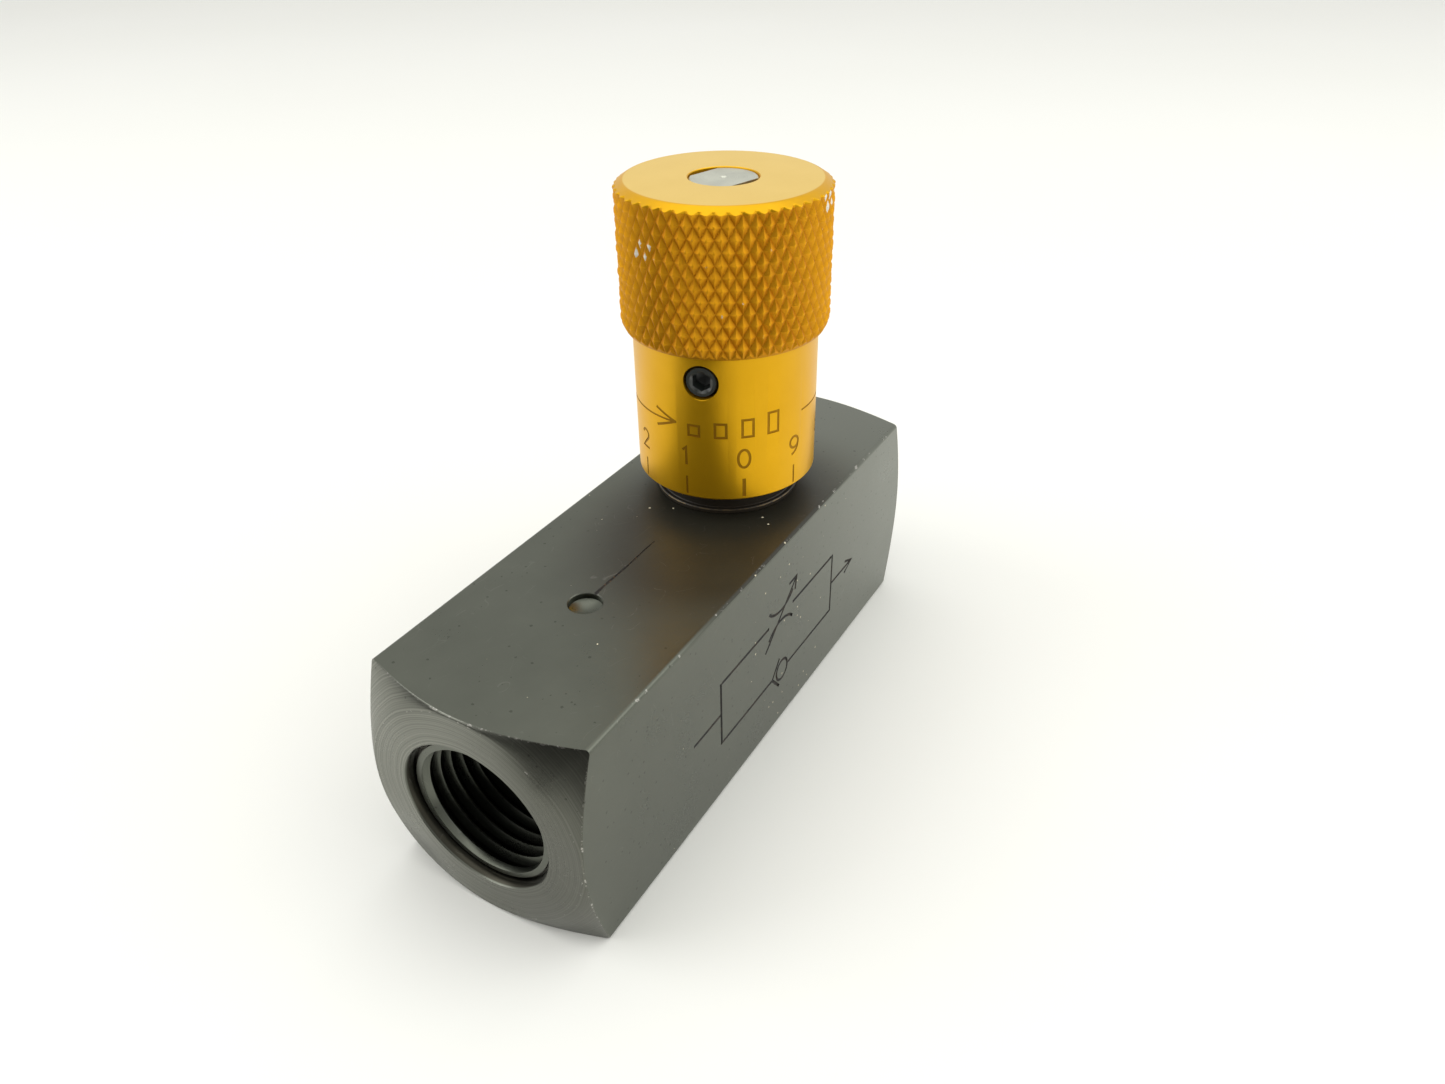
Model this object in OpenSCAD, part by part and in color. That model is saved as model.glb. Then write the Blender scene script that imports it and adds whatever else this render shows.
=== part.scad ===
// In-line flow control valve: a needle valve that meters one way and a check poppet that opens the other way.
// The ports lie along X, the knob stands along +Z, and the origin is the centre of the body's underside.

/* [Body] */
// Length of the body over its two port faces
body_l = 91.4; // [90:0.1:100]
// Side of the square bar
body_w = 31.75; // [31.5:0.05:33]
// Radius of the flat disc turned on each end
end_disc_r = 15.6; // [15.3:0.1:15.8]
// Slope of the turned end chamfer, measured from the port face
end_chamfer_deg = 26; // [20:1:32]
// Radius of the rounded long edges
edge_r = 0.6; // [0.3:0.1:1]

/* [Ports] */
// Wall radius of the tapped port, at the thread's crests
port_r = 9.13; // [9:0.01:9.2]
// Depth of the tapped port
port_depth = 17; // [16:0.5:17.5]
// Radius of the counterbore at the mouth
port_mouth_r = 10.75; // [10.5:0.05:11]
// Depth of the counterbore
port_mouth_depth = 1.2; // [0.8:0.1:1.6]

/* [Needle valve] */
// Distance of the knob's axis from the middle of the body
knob_x = 14.6; // [14:0.1:15.5]
// Rise of the stem for one turn
stem_pitch = 1.27; // [1:0.01:1.3]
// Turns from closed to fully open
stem_turns = 6; // [5:0.5:6]
// Turns open in the drawn position
turns_open = 2.113; // [0.5:0.001:4]
// Radius of the metering orifice
orifice_r = 3.2; // [3:0.05:3.4]
// Pitch radius of the stem's thread
stem_thread_r = 5.12; // [5:0.01:5.2]
// Radius of the shank that carries the knob
stem_shank_r = 4.6; // [4.4:0.05:4.65]
// Radius of the land that carries the stem's seals
stem_land_r = 6.25; // [6.2:0.01:6.3]

/* [Bonnet] */
// Pitch radius of the bonnet's body thread
bonnet_thread_r = 9.5; // [9.4:0.05:9.6]
// Radius of the flange that rests on the body
bonnet_flange_r = 10.5; // [10.4:0.05:10.6]
// Height of the flange
bonnet_flange_h = 0.7; // [0.5:0.1:0.8]
// Radius of the neck inside the knob's skirt
bonnet_neck_r = 9.8; // [9.5:0.05:9.9]

/* [Knob] */
// Radius of the dial skirt
skirt_r = 12.8; // [12.7:0.05:13]
// Radius of the grip over its knurl
grip_r = 14.3; // [13.8:0.1:14.4]
// Height of the skirt below the grip
skirt_h = 21.35; // [21:0.05:22]
// Height of the grip, with both chamfers
grip_h = 19.3; // [19:0.1:20]
// Gap between the skirt and the body in the drawn position
skirt_gap = 3.6; // [3.6:0.05:3.8]
// Radius of the cavity that passes over the bonnet
cavity_r = 10.3; // [10.2:0.05:10.4]
// Height of the lock screw above the skirt's lower edge
screw_h = 17.6; // [17.4:0.1:18]
// Direction of the lock screw round the knob's axis, from +X
screw_az = -165; // [-180:1:180]

/* [Dial] */
// Number of divisions round the skirt
dial_marks = 10; // [8:1:12]
// Direction of the zero tick round the knob's axis, from +X
dial_zero_az = -139.4; // [-180:0.1:180]
// Depth of the ticks and of the index line
mark_depth = 0.12; // [0.05:0.01:0.2]

/* [Check valve] */
// Radius of the check chamber
chamber_r = 8.6; // [8.5:0.05:8.8]
// Radius of the through passage and of the poppet's seat
passage_r = 4.4; // [4.2:0.05:4.5]
// Travel of the check poppet
poppet_travel = 4; // [3:0.1:4.2]
// Number of flow holes in the spring retainer
retainer_holes = 6; // [4:1:6]

/* [Hidden] */
$fn = 96;
fn_small = 48;

// Body
half_l = body_l / 2;
half_w = body_w / 2;
port_z = half_w;
corner_r = half_w * sqrt(2);
chamfer_run = (corner_r - end_disc_r) * tan(end_chamfer_deg);
port_end_x = half_l - port_depth;
seam = 0.02;                              // gap between pieces that fit face to face
over = 1;                                 // how far a cutting shape runs past a face

// Index dimple and line on the top face, towards the near port
dimple_x = -21.4;
dimple_r = 2.2;
dimple_depth = 0.9;
dimple_cone = 0.9;
index_from_x = -19.5;
index_to_x = -5.4;
index_w = 0.35;

// Check chamber
seat_x = -3;
chamber_from_x = -port_end_x;
ring_groove_x = -27.6;
ring_groove_w = 1.2;
ring_groove_r = 9.4;
bypass_r = 1.7;
bypass_offset = 6.8;
bypass_spread = 35;
bypass_end_x = knob_x - 3.6;               // short of the metering orifice's edge

// Bonnet hole
needle_chamber_r = 6.5;
needle_chamber_z = 21.2;
bonnet_end_z = 25.2;
seal_groove_r = 10.2;
seal_groove_z = 29.7;
seal_land_r = 8.2;                        // wall of the bonnet inside its face seal

// Bonnet
neck_top_z = 45.8;
neck_chamfer = 0.8;
land_bore_r = stem_land_r + 0.05;
stem_bore_r = stem_thread_r + 0.05;
scale_ring_w = 0.3;

// Stem: heights are given in the closed position, then raised by the lift
lift = turns_open * stem_pitch;
tip_z = 14.9;
tip_r = 1.26;
needle_top_z = 23.4;
needle_r = 3.81;
land_z = 25.7;
land_top_z = 31;
land_stop_z = land_top_z + stem_turns * stem_pitch + 4 * seam;  // shoulder that stops the open stem
gland_z = 26.6;
gland_h = 3.3;
gland_r = 4.55;
backup_h = 0.7;
stem_seal_r = 0.86;
shoulder_z = 46.3;
flat_offset = 3.6;                        // distance of the two flats from the stem's axis
flat_h = 5;
flat_az = 75;                             // direction that one of the flats faces, from +X
centre_mark_r = 0.6;
stem_top_drop = 0.15;                     // how far the stem's end lies below the knob's top face

// Knob
skirt_z = body_w + skirt_gap;
grip_z = skirt_z + skirt_h;
knob_top_z = grip_z + grip_h;
grip_chamfer_low = 1.1;
grip_chamfer_top = 1.2;
knob_top_r = 12.8;
cavity_top_z = shoulder_z + lift + seam;
shank_bore_r = stem_shank_r + 0.03;
skirt_chamfer = 0.3;
tick_from = 0.6;
tick_l = 2.8;
tick_w = 0.25;
zero_tick_w = 0.45;

// Lock screw
screw_r = 2.38;                           // thread of the screw, drawn at its pitch radius
screw_hole_r = screw_r + 0.04;
screw_l = 4.6;
screw_recess = 0.3;
hex_af = 2.4;
hex_depth = 2.2;
pellet_r = 1.9;
screw_z = skirt_z + screw_h;
screw_out = skirt_r - screw_recess;       // distance of the screw's outer face from the knob's axis
screw_in = screw_out - screw_l;

// Check poppet, spring, retainer
head_r = 6.3;
head_h = 1.5;
seat_gap = 0.05;                          // clearance of the poppet's cone from the seat's edge
cone_tip_r = 3.4;
cone_tip_x = seat_x + passage_r - seat_gap - cone_tip_r;
cone_back_x = seat_x + passage_r - seat_gap - head_r;
head_back_x = cone_back_x - head_h;
guide_r = 2.4;
guide_bore_r = guide_r + 0.05;
guide_end_x = -25.4;
retainer_front_x = -24.2;
retainer_back_x = ring_groove_x + ring_groove_w + seam;
retainer_h = retainer_front_x - retainer_back_x;
hub_r = 3.2;
hub_l = 2;
boss_r = 3.1;
boss_end_x = retainer_front_x + hub_l + poppet_travel + seam;  // meets the hub when the poppet is open
retainer_r = chamber_r - 0.1;
retainer_hole_r = 1.45;
retainer_hole_at = 5.9;                   // distance of the flow holes from the port axis
spring_turns = 6;
spring_steps = 20;                        // rings of the wire for each turn
spring_sides = 8;
spring_wire_r = 0.5;
spring_mean_r = 4.1;

// Retaining ring
snap_in_r = 7.5;
snap_gap_deg = 50;
lug_r = 1.5;
lug_hole_r = 0.6;
lug_at_r = 7.4;

module along_x(x) translate([x, 0, port_z]) rotate([0, 90, 0]) children();

module on_knob_axis(z) translate([knob_x, 0, z]) children();

module on_screw_axis() on_knob_axis(screw_z) rotate([0, 0, screw_az]) rotate([0, 90, 0]) children();

module ring(outer, inner, h) difference() {
    cylinder(r = outer, h = h);
    translate([0, 0, -over]) cylinder(r = inner, h = h + 2 * over);
}

module torus(mean, section) rotate_extrude() translate([mean, 0]) circle(r = section, $fn = fn_small);

// The square bar, with each end turned to a disc and a shallow cone across the corners
module turned_bar() intersection() {
    translate([-half_l, 0, port_z]) rotate([90, 0, 90]) linear_extrude(body_l)
        union() {
            square([body_w, body_w - 2 * edge_r], center = true);
            square([body_w - 2 * edge_r, body_w], center = true);
            for (sx = [-1, 1], sy = [-1, 1]) translate([sx * (half_w - edge_r), sy * (half_w - edge_r)])
                circle(r = edge_r, $fn = fn_small);
        }
    along_x(-half_l) rotate_extrude() polygon([
        [0, 0], [end_disc_r, 0], [corner_r, chamfer_run],
        [corner_r, body_l - chamfer_run], [end_disc_r, body_l], [0, body_l]
    ]);
}

module ports() {
    for (m = [0, 1]) mirror([m, 0, 0]) {
        along_x(port_end_x) cylinder(r = port_r, h = port_depth + over);
        along_x(half_l - port_mouth_depth) cylinder(r = port_mouth_r, h = port_mouth_depth + over);
    }
}

module bypass_holes() for (a = [-bypass_spread, 0, bypass_spread])
    along_x(seat_x - over) rotate([0, 0, a]) translate([-bypass_offset, 0, 0])
        cylinder(r = bypass_r, h = bypass_end_x - seat_x + over, $fn = fn_small);

module check_chamber() {
    along_x(chamber_from_x - over) cylinder(r = chamber_r, h = seat_x - chamber_from_x + over);
    along_x(ring_groove_x) cylinder(r = ring_groove_r, h = ring_groove_w);
    along_x(seat_x - over) cylinder(r = passage_r, h = port_end_x - seat_x + 2 * over);
}

module bonnet_hole() {
    on_knob_axis(port_z) cylinder(r = orifice_r, h = needle_chamber_z - port_z + over);
    on_knob_axis(needle_chamber_z) cylinder(r = needle_chamber_r, h = bonnet_end_z - needle_chamber_z);
    on_knob_axis(bonnet_end_z) cylinder(r = bonnet_thread_r + seam, h = body_w - bonnet_end_z + over);
    on_knob_axis(seal_groove_z) cylinder(r = seal_groove_r, h = body_w - seal_groove_z + over);
}

module index_marks() {
    translate([dimple_x, 0, body_w - dimple_depth]) cylinder(r = dimple_r, h = dimple_depth + over);
    translate([dimple_x, 0, body_w - dimple_depth - dimple_cone])
        cylinder(r1 = 0.01, r2 = dimple_r, h = dimple_cone);
    translate([index_from_x, -index_w / 2, body_w - mark_depth])
        cube([index_to_x - index_from_x, index_w, mark_depth + over]);
}

module valve_body() color([0.16, 0.16, 0.15]) difference() {
    turned_bar();
    ports();
    check_chamber();
    bypass_holes();
    bonnet_hole();
    index_marks();
}

// Gland nut: screwed into the body, threaded for the stem, smooth below for the stem's seals
module bonnet() color([0.2, 0.2, 0.19]) difference() {
    union() {
        on_knob_axis(bonnet_end_z + seam)
            cylinder(r = bonnet_thread_r, h = seal_groove_z - bonnet_end_z - seam);
        on_knob_axis(seal_groove_z)
            cylinder(r = seal_land_r, h = body_w - seal_groove_z + bonnet_flange_h);
        on_knob_axis(body_w + seam / 2) cylinder(r = bonnet_flange_r, h = bonnet_flange_h);
        on_knob_axis(body_w + bonnet_flange_h)
            cylinder(r = bonnet_neck_r, h = neck_top_z - neck_chamfer - body_w - bonnet_flange_h);
        on_knob_axis(neck_top_z - neck_chamfer)
            cylinder(r1 = bonnet_neck_r, r2 = bonnet_neck_r - neck_chamfer, h = neck_chamfer);
    }
    on_knob_axis(bonnet_end_z - over) cylinder(r = land_bore_r, h = land_stop_z - bonnet_end_z + over);
    on_knob_axis(land_stop_z - over) cylinder(r = stem_bore_r, h = neck_top_z - land_stop_z + 2 * over);
    for (turn = [1:stem_turns])
        on_knob_axis(body_w + bonnet_flange_h + turn * stem_pitch)
            ring(bonnet_neck_r + over, bonnet_neck_r - mark_depth, scale_ring_w);
}

module bonnet_o_ring() color([0.07, 0.07, 0.07])
    on_knob_axis((seal_groove_z + body_w) / 2)
        torus((seal_groove_r + seal_land_r) / 2, (seal_groove_r - seal_land_r) / 2 - seam);

// Needle, seal land with its gland, thread, and the shank that ends in two flats in the knob's top
module needle_stem() color([0.62, 0.62, 0.6]) difference() {
    on_knob_axis(lift) rotate_extrude() polygon([
        [0, tip_z], [tip_r, tip_z], [needle_r, needle_top_z], [needle_r, land_z],
        [stem_land_r, land_z], [stem_land_r, gland_z], [gland_r, gland_z], [gland_r, gland_z + gland_h],
        [stem_land_r, gland_z + gland_h], [stem_land_r, land_top_z], [stem_thread_r, land_top_z],
        [stem_thread_r, shoulder_z], [stem_shank_r, shoulder_z],
        [stem_shank_r, knob_top_z - stem_top_drop - lift], [0, knob_top_z - stem_top_drop - lift]
    ]);
    for (side = [0, 180])
        on_knob_axis(knob_top_z - stem_top_drop - flat_h) rotate([0, 0, flat_az + side])
            translate([flat_offset, -stem_shank_r, 0]) cube([stem_shank_r, 2 * stem_shank_r, flat_h + over]);
    on_knob_axis(knob_top_z - stem_top_drop - centre_mark_r)
        cylinder(r1 = 0.01, r2 = centre_mark_r, h = centre_mark_r + 0.01, $fn = fn_small);
}

module stem_o_ring() color([0.07, 0.07, 0.07])
    on_knob_axis(lift + gland_z + gland_h / 2) torus((gland_r + land_bore_r) / 2, stem_seal_r - seam);

module backup_ring(z) color([0.92, 0.9, 0.84])
    on_knob_axis(lift + z) ring(land_bore_r - seam, gland_r + seam, backup_h - 2 * seam);

module stem_backup_ring_lower() backup_ring(gland_z + seam);

module stem_backup_ring_upper() backup_ring(gland_z + gland_h - backup_h + seam);

// Knurled grip over a plain dial skirt; the cavity passes over the bonnet's neck
module knob() color([0.85, 0.6, 0.14]) difference() {
    on_knob_axis(0) rotate_extrude() polygon([
        [0, skirt_z], [skirt_r - skirt_chamfer, skirt_z], [skirt_r, skirt_z + skirt_chamfer],
        [skirt_r, grip_z], [grip_r - grip_chamfer_low / 2, grip_z], [grip_r, grip_z + grip_chamfer_low],
        [grip_r, knob_top_z - grip_chamfer_top], [knob_top_r, knob_top_z], [0, knob_top_z]
    ]);
    on_knob_axis(skirt_z - over) cylinder(r = cavity_r, h = cavity_top_z - skirt_z + over);
    on_knob_axis(skirt_z) cylinder(r = shank_bore_r, h = knob_top_z - skirt_z + over);
    on_screw_axis() cylinder(r = screw_hole_r, h = skirt_r + over, $fn = fn_small);
    dial_ticks();
}

module dial_ticks() for (mark = [0:dial_marks - 1])
    on_knob_axis(skirt_z + tick_from) rotate([0, 0, dial_zero_az - mark * 360 / dial_marks])
        tick(mark == 0 ? zero_tick_w : tick_w);

module tick(w) translate([skirt_r - mark_depth, -w / 2, 0]) cube([mark_depth + over, w, tick_l]);

module knob_lock_screw() color([0.05, 0.05, 0.06]) on_screw_axis() difference() {
    translate([0, 0, screw_in]) cylinder(r = screw_r, h = screw_l, $fn = fn_small);
    translate([0, 0, screw_out - hex_depth]) cylinder(r = hex_af / sqrt(3), h = hex_depth + over, $fn = 6);
}

module lock_pellet() color([0.78, 0.62, 0.3])
    on_screw_axis() translate([0, 0, stem_shank_r + seam])
        cylinder(r = pellet_r, h = screw_in - stem_shank_r - 2 * seam, $fn = fn_small);

module check_poppet() color([0.66, 0.66, 0.64])
    along_x(0) rotate_extrude() polygon([
        [0, guide_end_x], [guide_r, guide_end_x], [guide_r, boss_end_x], [boss_r, boss_end_x],
        [boss_r, head_back_x], [head_r, head_back_x], [head_r, cone_back_x], [cone_tip_r, cone_tip_x],
        [0, cone_tip_x]
    ]);

// Compression spring: an octagonal wire swept along a helix between the retainer and the poppet's head
module check_spring() {
    from_x = retainer_front_x + spring_wire_r + seam;
    to_x = head_back_x - spring_wire_r - seam;
    rings = spring_turns * spring_steps;
    function point(i, k) =
        let (turn = 360 * i / spring_steps, side = 360 * k / spring_sides)
        let (r = spring_mean_r + spring_wire_r * cos(side))
        let (x = from_x + (to_x - from_x) * i / rings + spring_wire_r * sin(side))
        [x, r * cos(turn), port_z + r * sin(turn)];
    points = [for (i = [0:rings], k = [0:spring_sides - 1]) point(i, k)];
    sides = [for (i = [0:rings - 1], k = [0:spring_sides - 1])
        let (next = (k + 1) % spring_sides, row = i * spring_sides)
        [row + k, row + next, row + spring_sides + next, row + spring_sides + k]];
    near_end = [for (k = [spring_sides - 1:-1:0]) k];
    far_end = [for (k = [0:spring_sides - 1]) rings * spring_sides + k];
    color([0.6, 0.6, 0.62]) polyhedron(points, concat([near_end, far_end], sides));
}

// Perforated disc whose hub guides the poppet and centres the spring
module spring_retainer() color([0.55, 0.55, 0.54]) difference() {
    union() {
        along_x(retainer_back_x) cylinder(r = retainer_r, h = retainer_h);
        along_x(retainer_back_x) cylinder(r = hub_r, h = retainer_h + hub_l);
    }
    along_x(retainer_back_x - over) cylinder(r = guide_bore_r, h = retainer_h + hub_l + 2 * over);
    for (i = [0:retainer_holes - 1])
        along_x(retainer_back_x - over) rotate([0, 0, (i + 0.5) * 360 / retainer_holes])
            translate([retainer_hole_at, 0, 0])
                cylinder(r = retainer_hole_r, h = retainer_h + 2 * over, $fn = fn_small);
}

// Open internal ring with two drilled lugs
module retaining_ring() color([0.3, 0.3, 0.31])
    along_x(ring_groove_x + seam) difference() {
        h = ring_groove_w - 2 * seam;
        gap_edge = 2 * ring_groove_r * [cos(snap_gap_deg / 2), sin(snap_gap_deg / 2)];
        union() {
            difference() {
                ring(ring_groove_r - 0.1, snap_in_r, h);
                translate([0, 0, -over]) linear_extrude(h + 2 * over)
                    polygon([[0, 0], [gap_edge[0], -gap_edge[1]], gap_edge]);
            }
            for (side = [-1, 1]) rotate([0, 0, side * (snap_gap_deg / 2 + 4)])
                translate([lug_at_r, 0, 0]) cylinder(r = lug_r, h = h, $fn = fn_small);
        }
        for (side = [-1, 1]) rotate([0, 0, side * (snap_gap_deg / 2 + 4)])
            translate([lug_at_r, 0, -over]) cylinder(r = lug_hole_r, h = h + 2 * over, $fn = fn_small);
    }

valve_body();
bonnet();
bonnet_o_ring();
needle_stem();
stem_o_ring();
stem_backup_ring_lower();
stem_backup_ring_upper();
knob();
knob_lock_screw();
lock_pellet();
check_poppet();
check_spring();
spring_retainer();
retaining_ring();
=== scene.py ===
"""In-line flow control valve: a square black steel body, a gland nut, and a gold dial knob over a needle.

Shapes are worked out in millimetres and laid down in metres. Heights and directions are the frame's own:
the ports lie along X, the knob stands along Z, and directions round the knob are counted from +X.
"""
import math

import bmesh
import bpy
import numpy as np
from mathutils import Matrix, Vector


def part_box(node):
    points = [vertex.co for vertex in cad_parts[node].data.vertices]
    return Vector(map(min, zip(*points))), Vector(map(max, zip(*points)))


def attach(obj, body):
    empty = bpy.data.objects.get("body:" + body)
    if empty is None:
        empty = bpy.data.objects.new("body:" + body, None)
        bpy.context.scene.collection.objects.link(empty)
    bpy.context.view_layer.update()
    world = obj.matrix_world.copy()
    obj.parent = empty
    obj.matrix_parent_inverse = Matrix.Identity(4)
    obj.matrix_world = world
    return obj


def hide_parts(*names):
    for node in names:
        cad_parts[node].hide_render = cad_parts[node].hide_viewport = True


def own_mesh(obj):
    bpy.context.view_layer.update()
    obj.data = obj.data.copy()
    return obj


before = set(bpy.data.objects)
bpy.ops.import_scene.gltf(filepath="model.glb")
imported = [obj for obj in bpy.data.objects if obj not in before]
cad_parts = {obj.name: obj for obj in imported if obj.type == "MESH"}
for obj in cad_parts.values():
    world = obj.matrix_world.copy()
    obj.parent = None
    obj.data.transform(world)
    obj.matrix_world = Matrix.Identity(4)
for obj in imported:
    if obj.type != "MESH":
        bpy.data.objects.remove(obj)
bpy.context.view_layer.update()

MM = 0.001
FULL_TURN = 2 * math.pi


def box_mm(node):
    """Lowest and highest corner of a CAD node, in millimetres."""
    low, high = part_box(node)
    return low / MM, high / MM


# ---- Places and sizes, from the frame -------------------------------------------------------------------
body_high = box_mm("valve_body")[1]
HALF_L = body_high.x
HALF_W = body_high.y
TOP_Z = body_high.z
PORT_Z = TOP_Z / 2

knob_low, knob_high = box_mm("knob")
KNOB_X = (knob_low.x + knob_high.x) / 2
GRIP_R = (knob_high.x - knob_low.x) / 2
SKIRT_Z = knob_low.z
KNOB_TOP_Z = knob_high.z

bonnet_low, bonnet_high = box_mm("bonnet")
stem_low, stem_high = box_mm("needle_stem")
spring_low, spring_high = box_mm("check_spring")
screw_low, screw_high = box_mm("knob_lock_screw")
SCREW_Z = (screw_low.z + screw_high.z) / 2
SCREW_DIRECTION = math.radians(-165)

# ---- Block ----------------------------------------------------------------------------------------------
EDGE_R = 0.6
END_DISC_R = 15.6
END_SLOPE = math.tan(math.radians(26))
BURR = 0.14                       # small break on the turned edges

MOUTH_R = 10.75
MOUTH_DEPTH = 1.2
MOUTH_WALL = (10.48, 0.9)         # radius and depth at the foot of the mouth's tapered wall
MOUTH_GROOVE = (10.16, 1.7)       # inner radius and depth of the groove between that wall and the ledge
THREAD_CREST_R = 9.13
THREAD_DEPTH = 1.45
PIPE_PITCH = 1.814
PIPE_TAPER = 1 / 32
THREAD_END = 14.2                 # depth at which the port's thread runs out
PORT_DEPTH = 17.0

CHAMBER_R = 8.6
RING_GROOVE = (-27.6, -26.4, 9.4)  # from, to and radius of the retaining ring's groove
SEAT_X = -3.0
PASSAGE_R = 4.4
BYPASS_R = 1.7
BYPASS_OFFSET = 6.8
BYPASS_END_X = KNOB_X - 3.6

SEAL_FACE_Z = 29.7                # face that the bonnet's seal lies on

DIMPLE_X = -21.4
DIMPLE_R = 2.2
INDEX_FROM = -19.5
INDEX_TO = -5.4

# ---- Bonnet and stem ------------------------------------------------------------------------------------
BONNET_THREAD = (9.9, 9.05, 1.5)  # crest, root and pitch of the thread that screws into the block
FLANGE_R = 10.5
NECK_R = 9.8
LAND_BORE_R = 6.3
LAND_TOP = 38.7
STEM_LEAD = 1.27
STEM_CREST_R = 5.5
STEM_ROOT_R = 4.8
THREAD_PLAY = 0.05
SHANK_R = 4.6
FLAT_FACING = math.radians(75)
FLAT_REACH = 3.6                  # distance from the stem's axis to a flat
FLAT_TALL = 5.0

# ---- Knob -----------------------------------------------------------------------------------------------
SKIRT_R = 12.8
GRIP_Z = SKIRT_Z + 21.35
GRIP_LOW_CHAMFER = 1.1
GRIP_TOP_CHAMFER = 0.85
KNOB_FACE_R = 13.0
CAVITY_R = 10.3
CAVITY_TOP = 49.0
SHANK_BORE_R = 4.63
KNURL_STARTS = 51
KNURL_CUTS = 12                   # mesh columns to one tooth
KNURL_DEPTH = 0.5
KNURL_TEAR = 0.3                  # share of its height that the worst torn tooth lacks
KNURL_TALL = 3.1                  # height of one diamond
KNURL_PHASE = math.radians(-148)  # direction of one valley crossing ...
KNURL_LEVEL = 75.2                # ... and its height

DIAL_ZERO = math.radians(-139.4)
DIAL_STEP = math.radians(36)
DIGIT_Z = SKIRT_Z + 6.5
BAND_Z = SKIRT_Z + 11.3
TICK_Z = SKIRT_Z + 2.0
ARROW_TIP = math.radians(177.7)
ARROW_LINE = (math.radians(263.3), math.radians(537.2))
BAR_FIRST = math.radians(190)
BAR_STEP = math.radians(16.5)

# ---- Lock screw -----------------------------------------------------------------------------------------
SCREW_HOLE_R = 2.42
SCREW_CREST_R = 2.38
SCREW_ROOT_R = 2.0
SCREW_PITCH = 0.794
SCREW_LONG = 4.6
SOCKET_REACH = 1.2                # half the distance across the socket's flats


# ---- Mesh making ----------------------------------------------------------------------------------------
def full_circle(columns, start=0.0):
    """Directions once round, with the first one repeated at the end."""
    return start + np.linspace(0, FULL_TURN, columns + 1)


def about_ports(radius, height, angles):
    """A point for each direction round the ports' axis; height is along X."""
    return np.stack([height, radius * np.cos(angles), PORT_Z + radius * np.sin(angles)], axis=1)


def about_knob(radius, height, angles):
    """A point for each direction round the knob's axis; height is along Z."""
    return np.stack([KNOB_X + radius * np.cos(angles), radius * np.sin(angles), height], axis=1)


def about_dimple(radius, height, angles):
    """A point for each direction round the index dimple's axis; height is along Z."""
    return about_knob(radius, height, angles) + (DIMPLE_X - KNOB_X, 0, 0)


def above_top_face(x, y, level):
    """Points over the block's top face."""
    return np.stack([x, y, TOP_Z + level], axis=1)


def before_front_face(x, z, level):
    """Points out from the block's front side."""
    return np.stack([x, -HALF_W - level, z], axis=1)


def about_screw(radius, height, angles):
    """A point for each direction round the lock screw's axis; height is the distance from the knob's axis."""
    out = np.array([math.cos(SCREW_DIRECTION), math.sin(SCREW_DIRECTION), 0])
    side = np.array([-out[1], out[0], 0])
    up = np.array([0, 0, 1])
    centre = np.array([KNOB_X, 0, SCREW_Z])
    across = np.outer(radius * np.cos(angles), side) + np.outer(radius * np.sin(angles), up)
    return centre + np.outer(height, out) + across


def clean(mesh):
    """Joins coinciding points, drops faces with no area, and turns the faces outward."""
    work = bmesh.new()
    work.from_mesh(mesh)
    bmesh.ops.remove_doubles(work, verts=work.verts, dist=0.001 * MM)
    bmesh.ops.dissolve_degenerate(work, edges=work.edges, dist=0.0005 * MM)
    bmesh.ops.recalc_face_normals(work, faces=work.faces)
    work.to_mesh(mesh)
    work.free()


def build(name, points, faces):
    """An object from points in millimetres."""
    mesh = bpy.data.meshes.new(name)
    mesh.from_pydata((np.asarray(points) * MM).tolist(), [], faces)
    clean(mesh)
    thing = bpy.data.objects.new(name, mesh)
    bpy.context.scene.collection.objects.link(thing)
    return thing


def turned(name, rings, place, angles, closed=True, cell_faces=None):
    """A shape with a loop of points for each ring. A ring is a radius and a height, each one number or an
    array over the directions. cell_faces may say how the cell of a ring and a column is split."""
    count = len(angles)
    loops = []
    for radius, height in rings:
        wide = np.broadcast_to(radius, count)
        tall = np.broadcast_to(height, count)
        loops.append(place(wide, tall, angles))
    faces = []
    for ring in range(len(rings) if closed else len(rings) - 1):
        here = ring * count
        there = (ring + 1) % len(rings) * count
        for column in range(count - 1):
            cell = (here + column, here + column + 1, there + column + 1, there + column)
            faces.extend(cell_faces(ring, column, cell) if cell_faces else [cell])
    return build(name, np.concatenate(loops), faces)


def thread_rings(start, end, crest, root, pitch, angles, taper=0.0, lead_in=1.0, lead_out=1.0):
    """Rings of a right-hand thread between two heights. lead_in and lead_out are the turns over which its
    depth grows and fades; a lead of 0 cuts it off square."""
    turn = (angles - angles[0]) / FULL_TURN
    knots = (0, 0.07, 0.5, 0.57)
    rings = []
    for count in range(math.floor(start / pitch) - 2, math.ceil(end / pitch) + 2):
        for knot in knots:
            height = np.clip((count + knot + turn) * pitch, start, end)
            phase = (height / pitch - turn) % 1
            depth = np.interp(phase, (*knots, 1), (0, 0, 1, 1, 0))
            if lead_in:
                depth = depth * np.clip((height - start) / (lead_in * pitch) + 0.2, 0, 1)
            if lead_out:
                depth = depth * np.clip((end - height) / (lead_out * pitch), 0, 1)
            rings.append((crest + (root - crest) * depth + taper * (height - start), height))
    return rings


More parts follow.
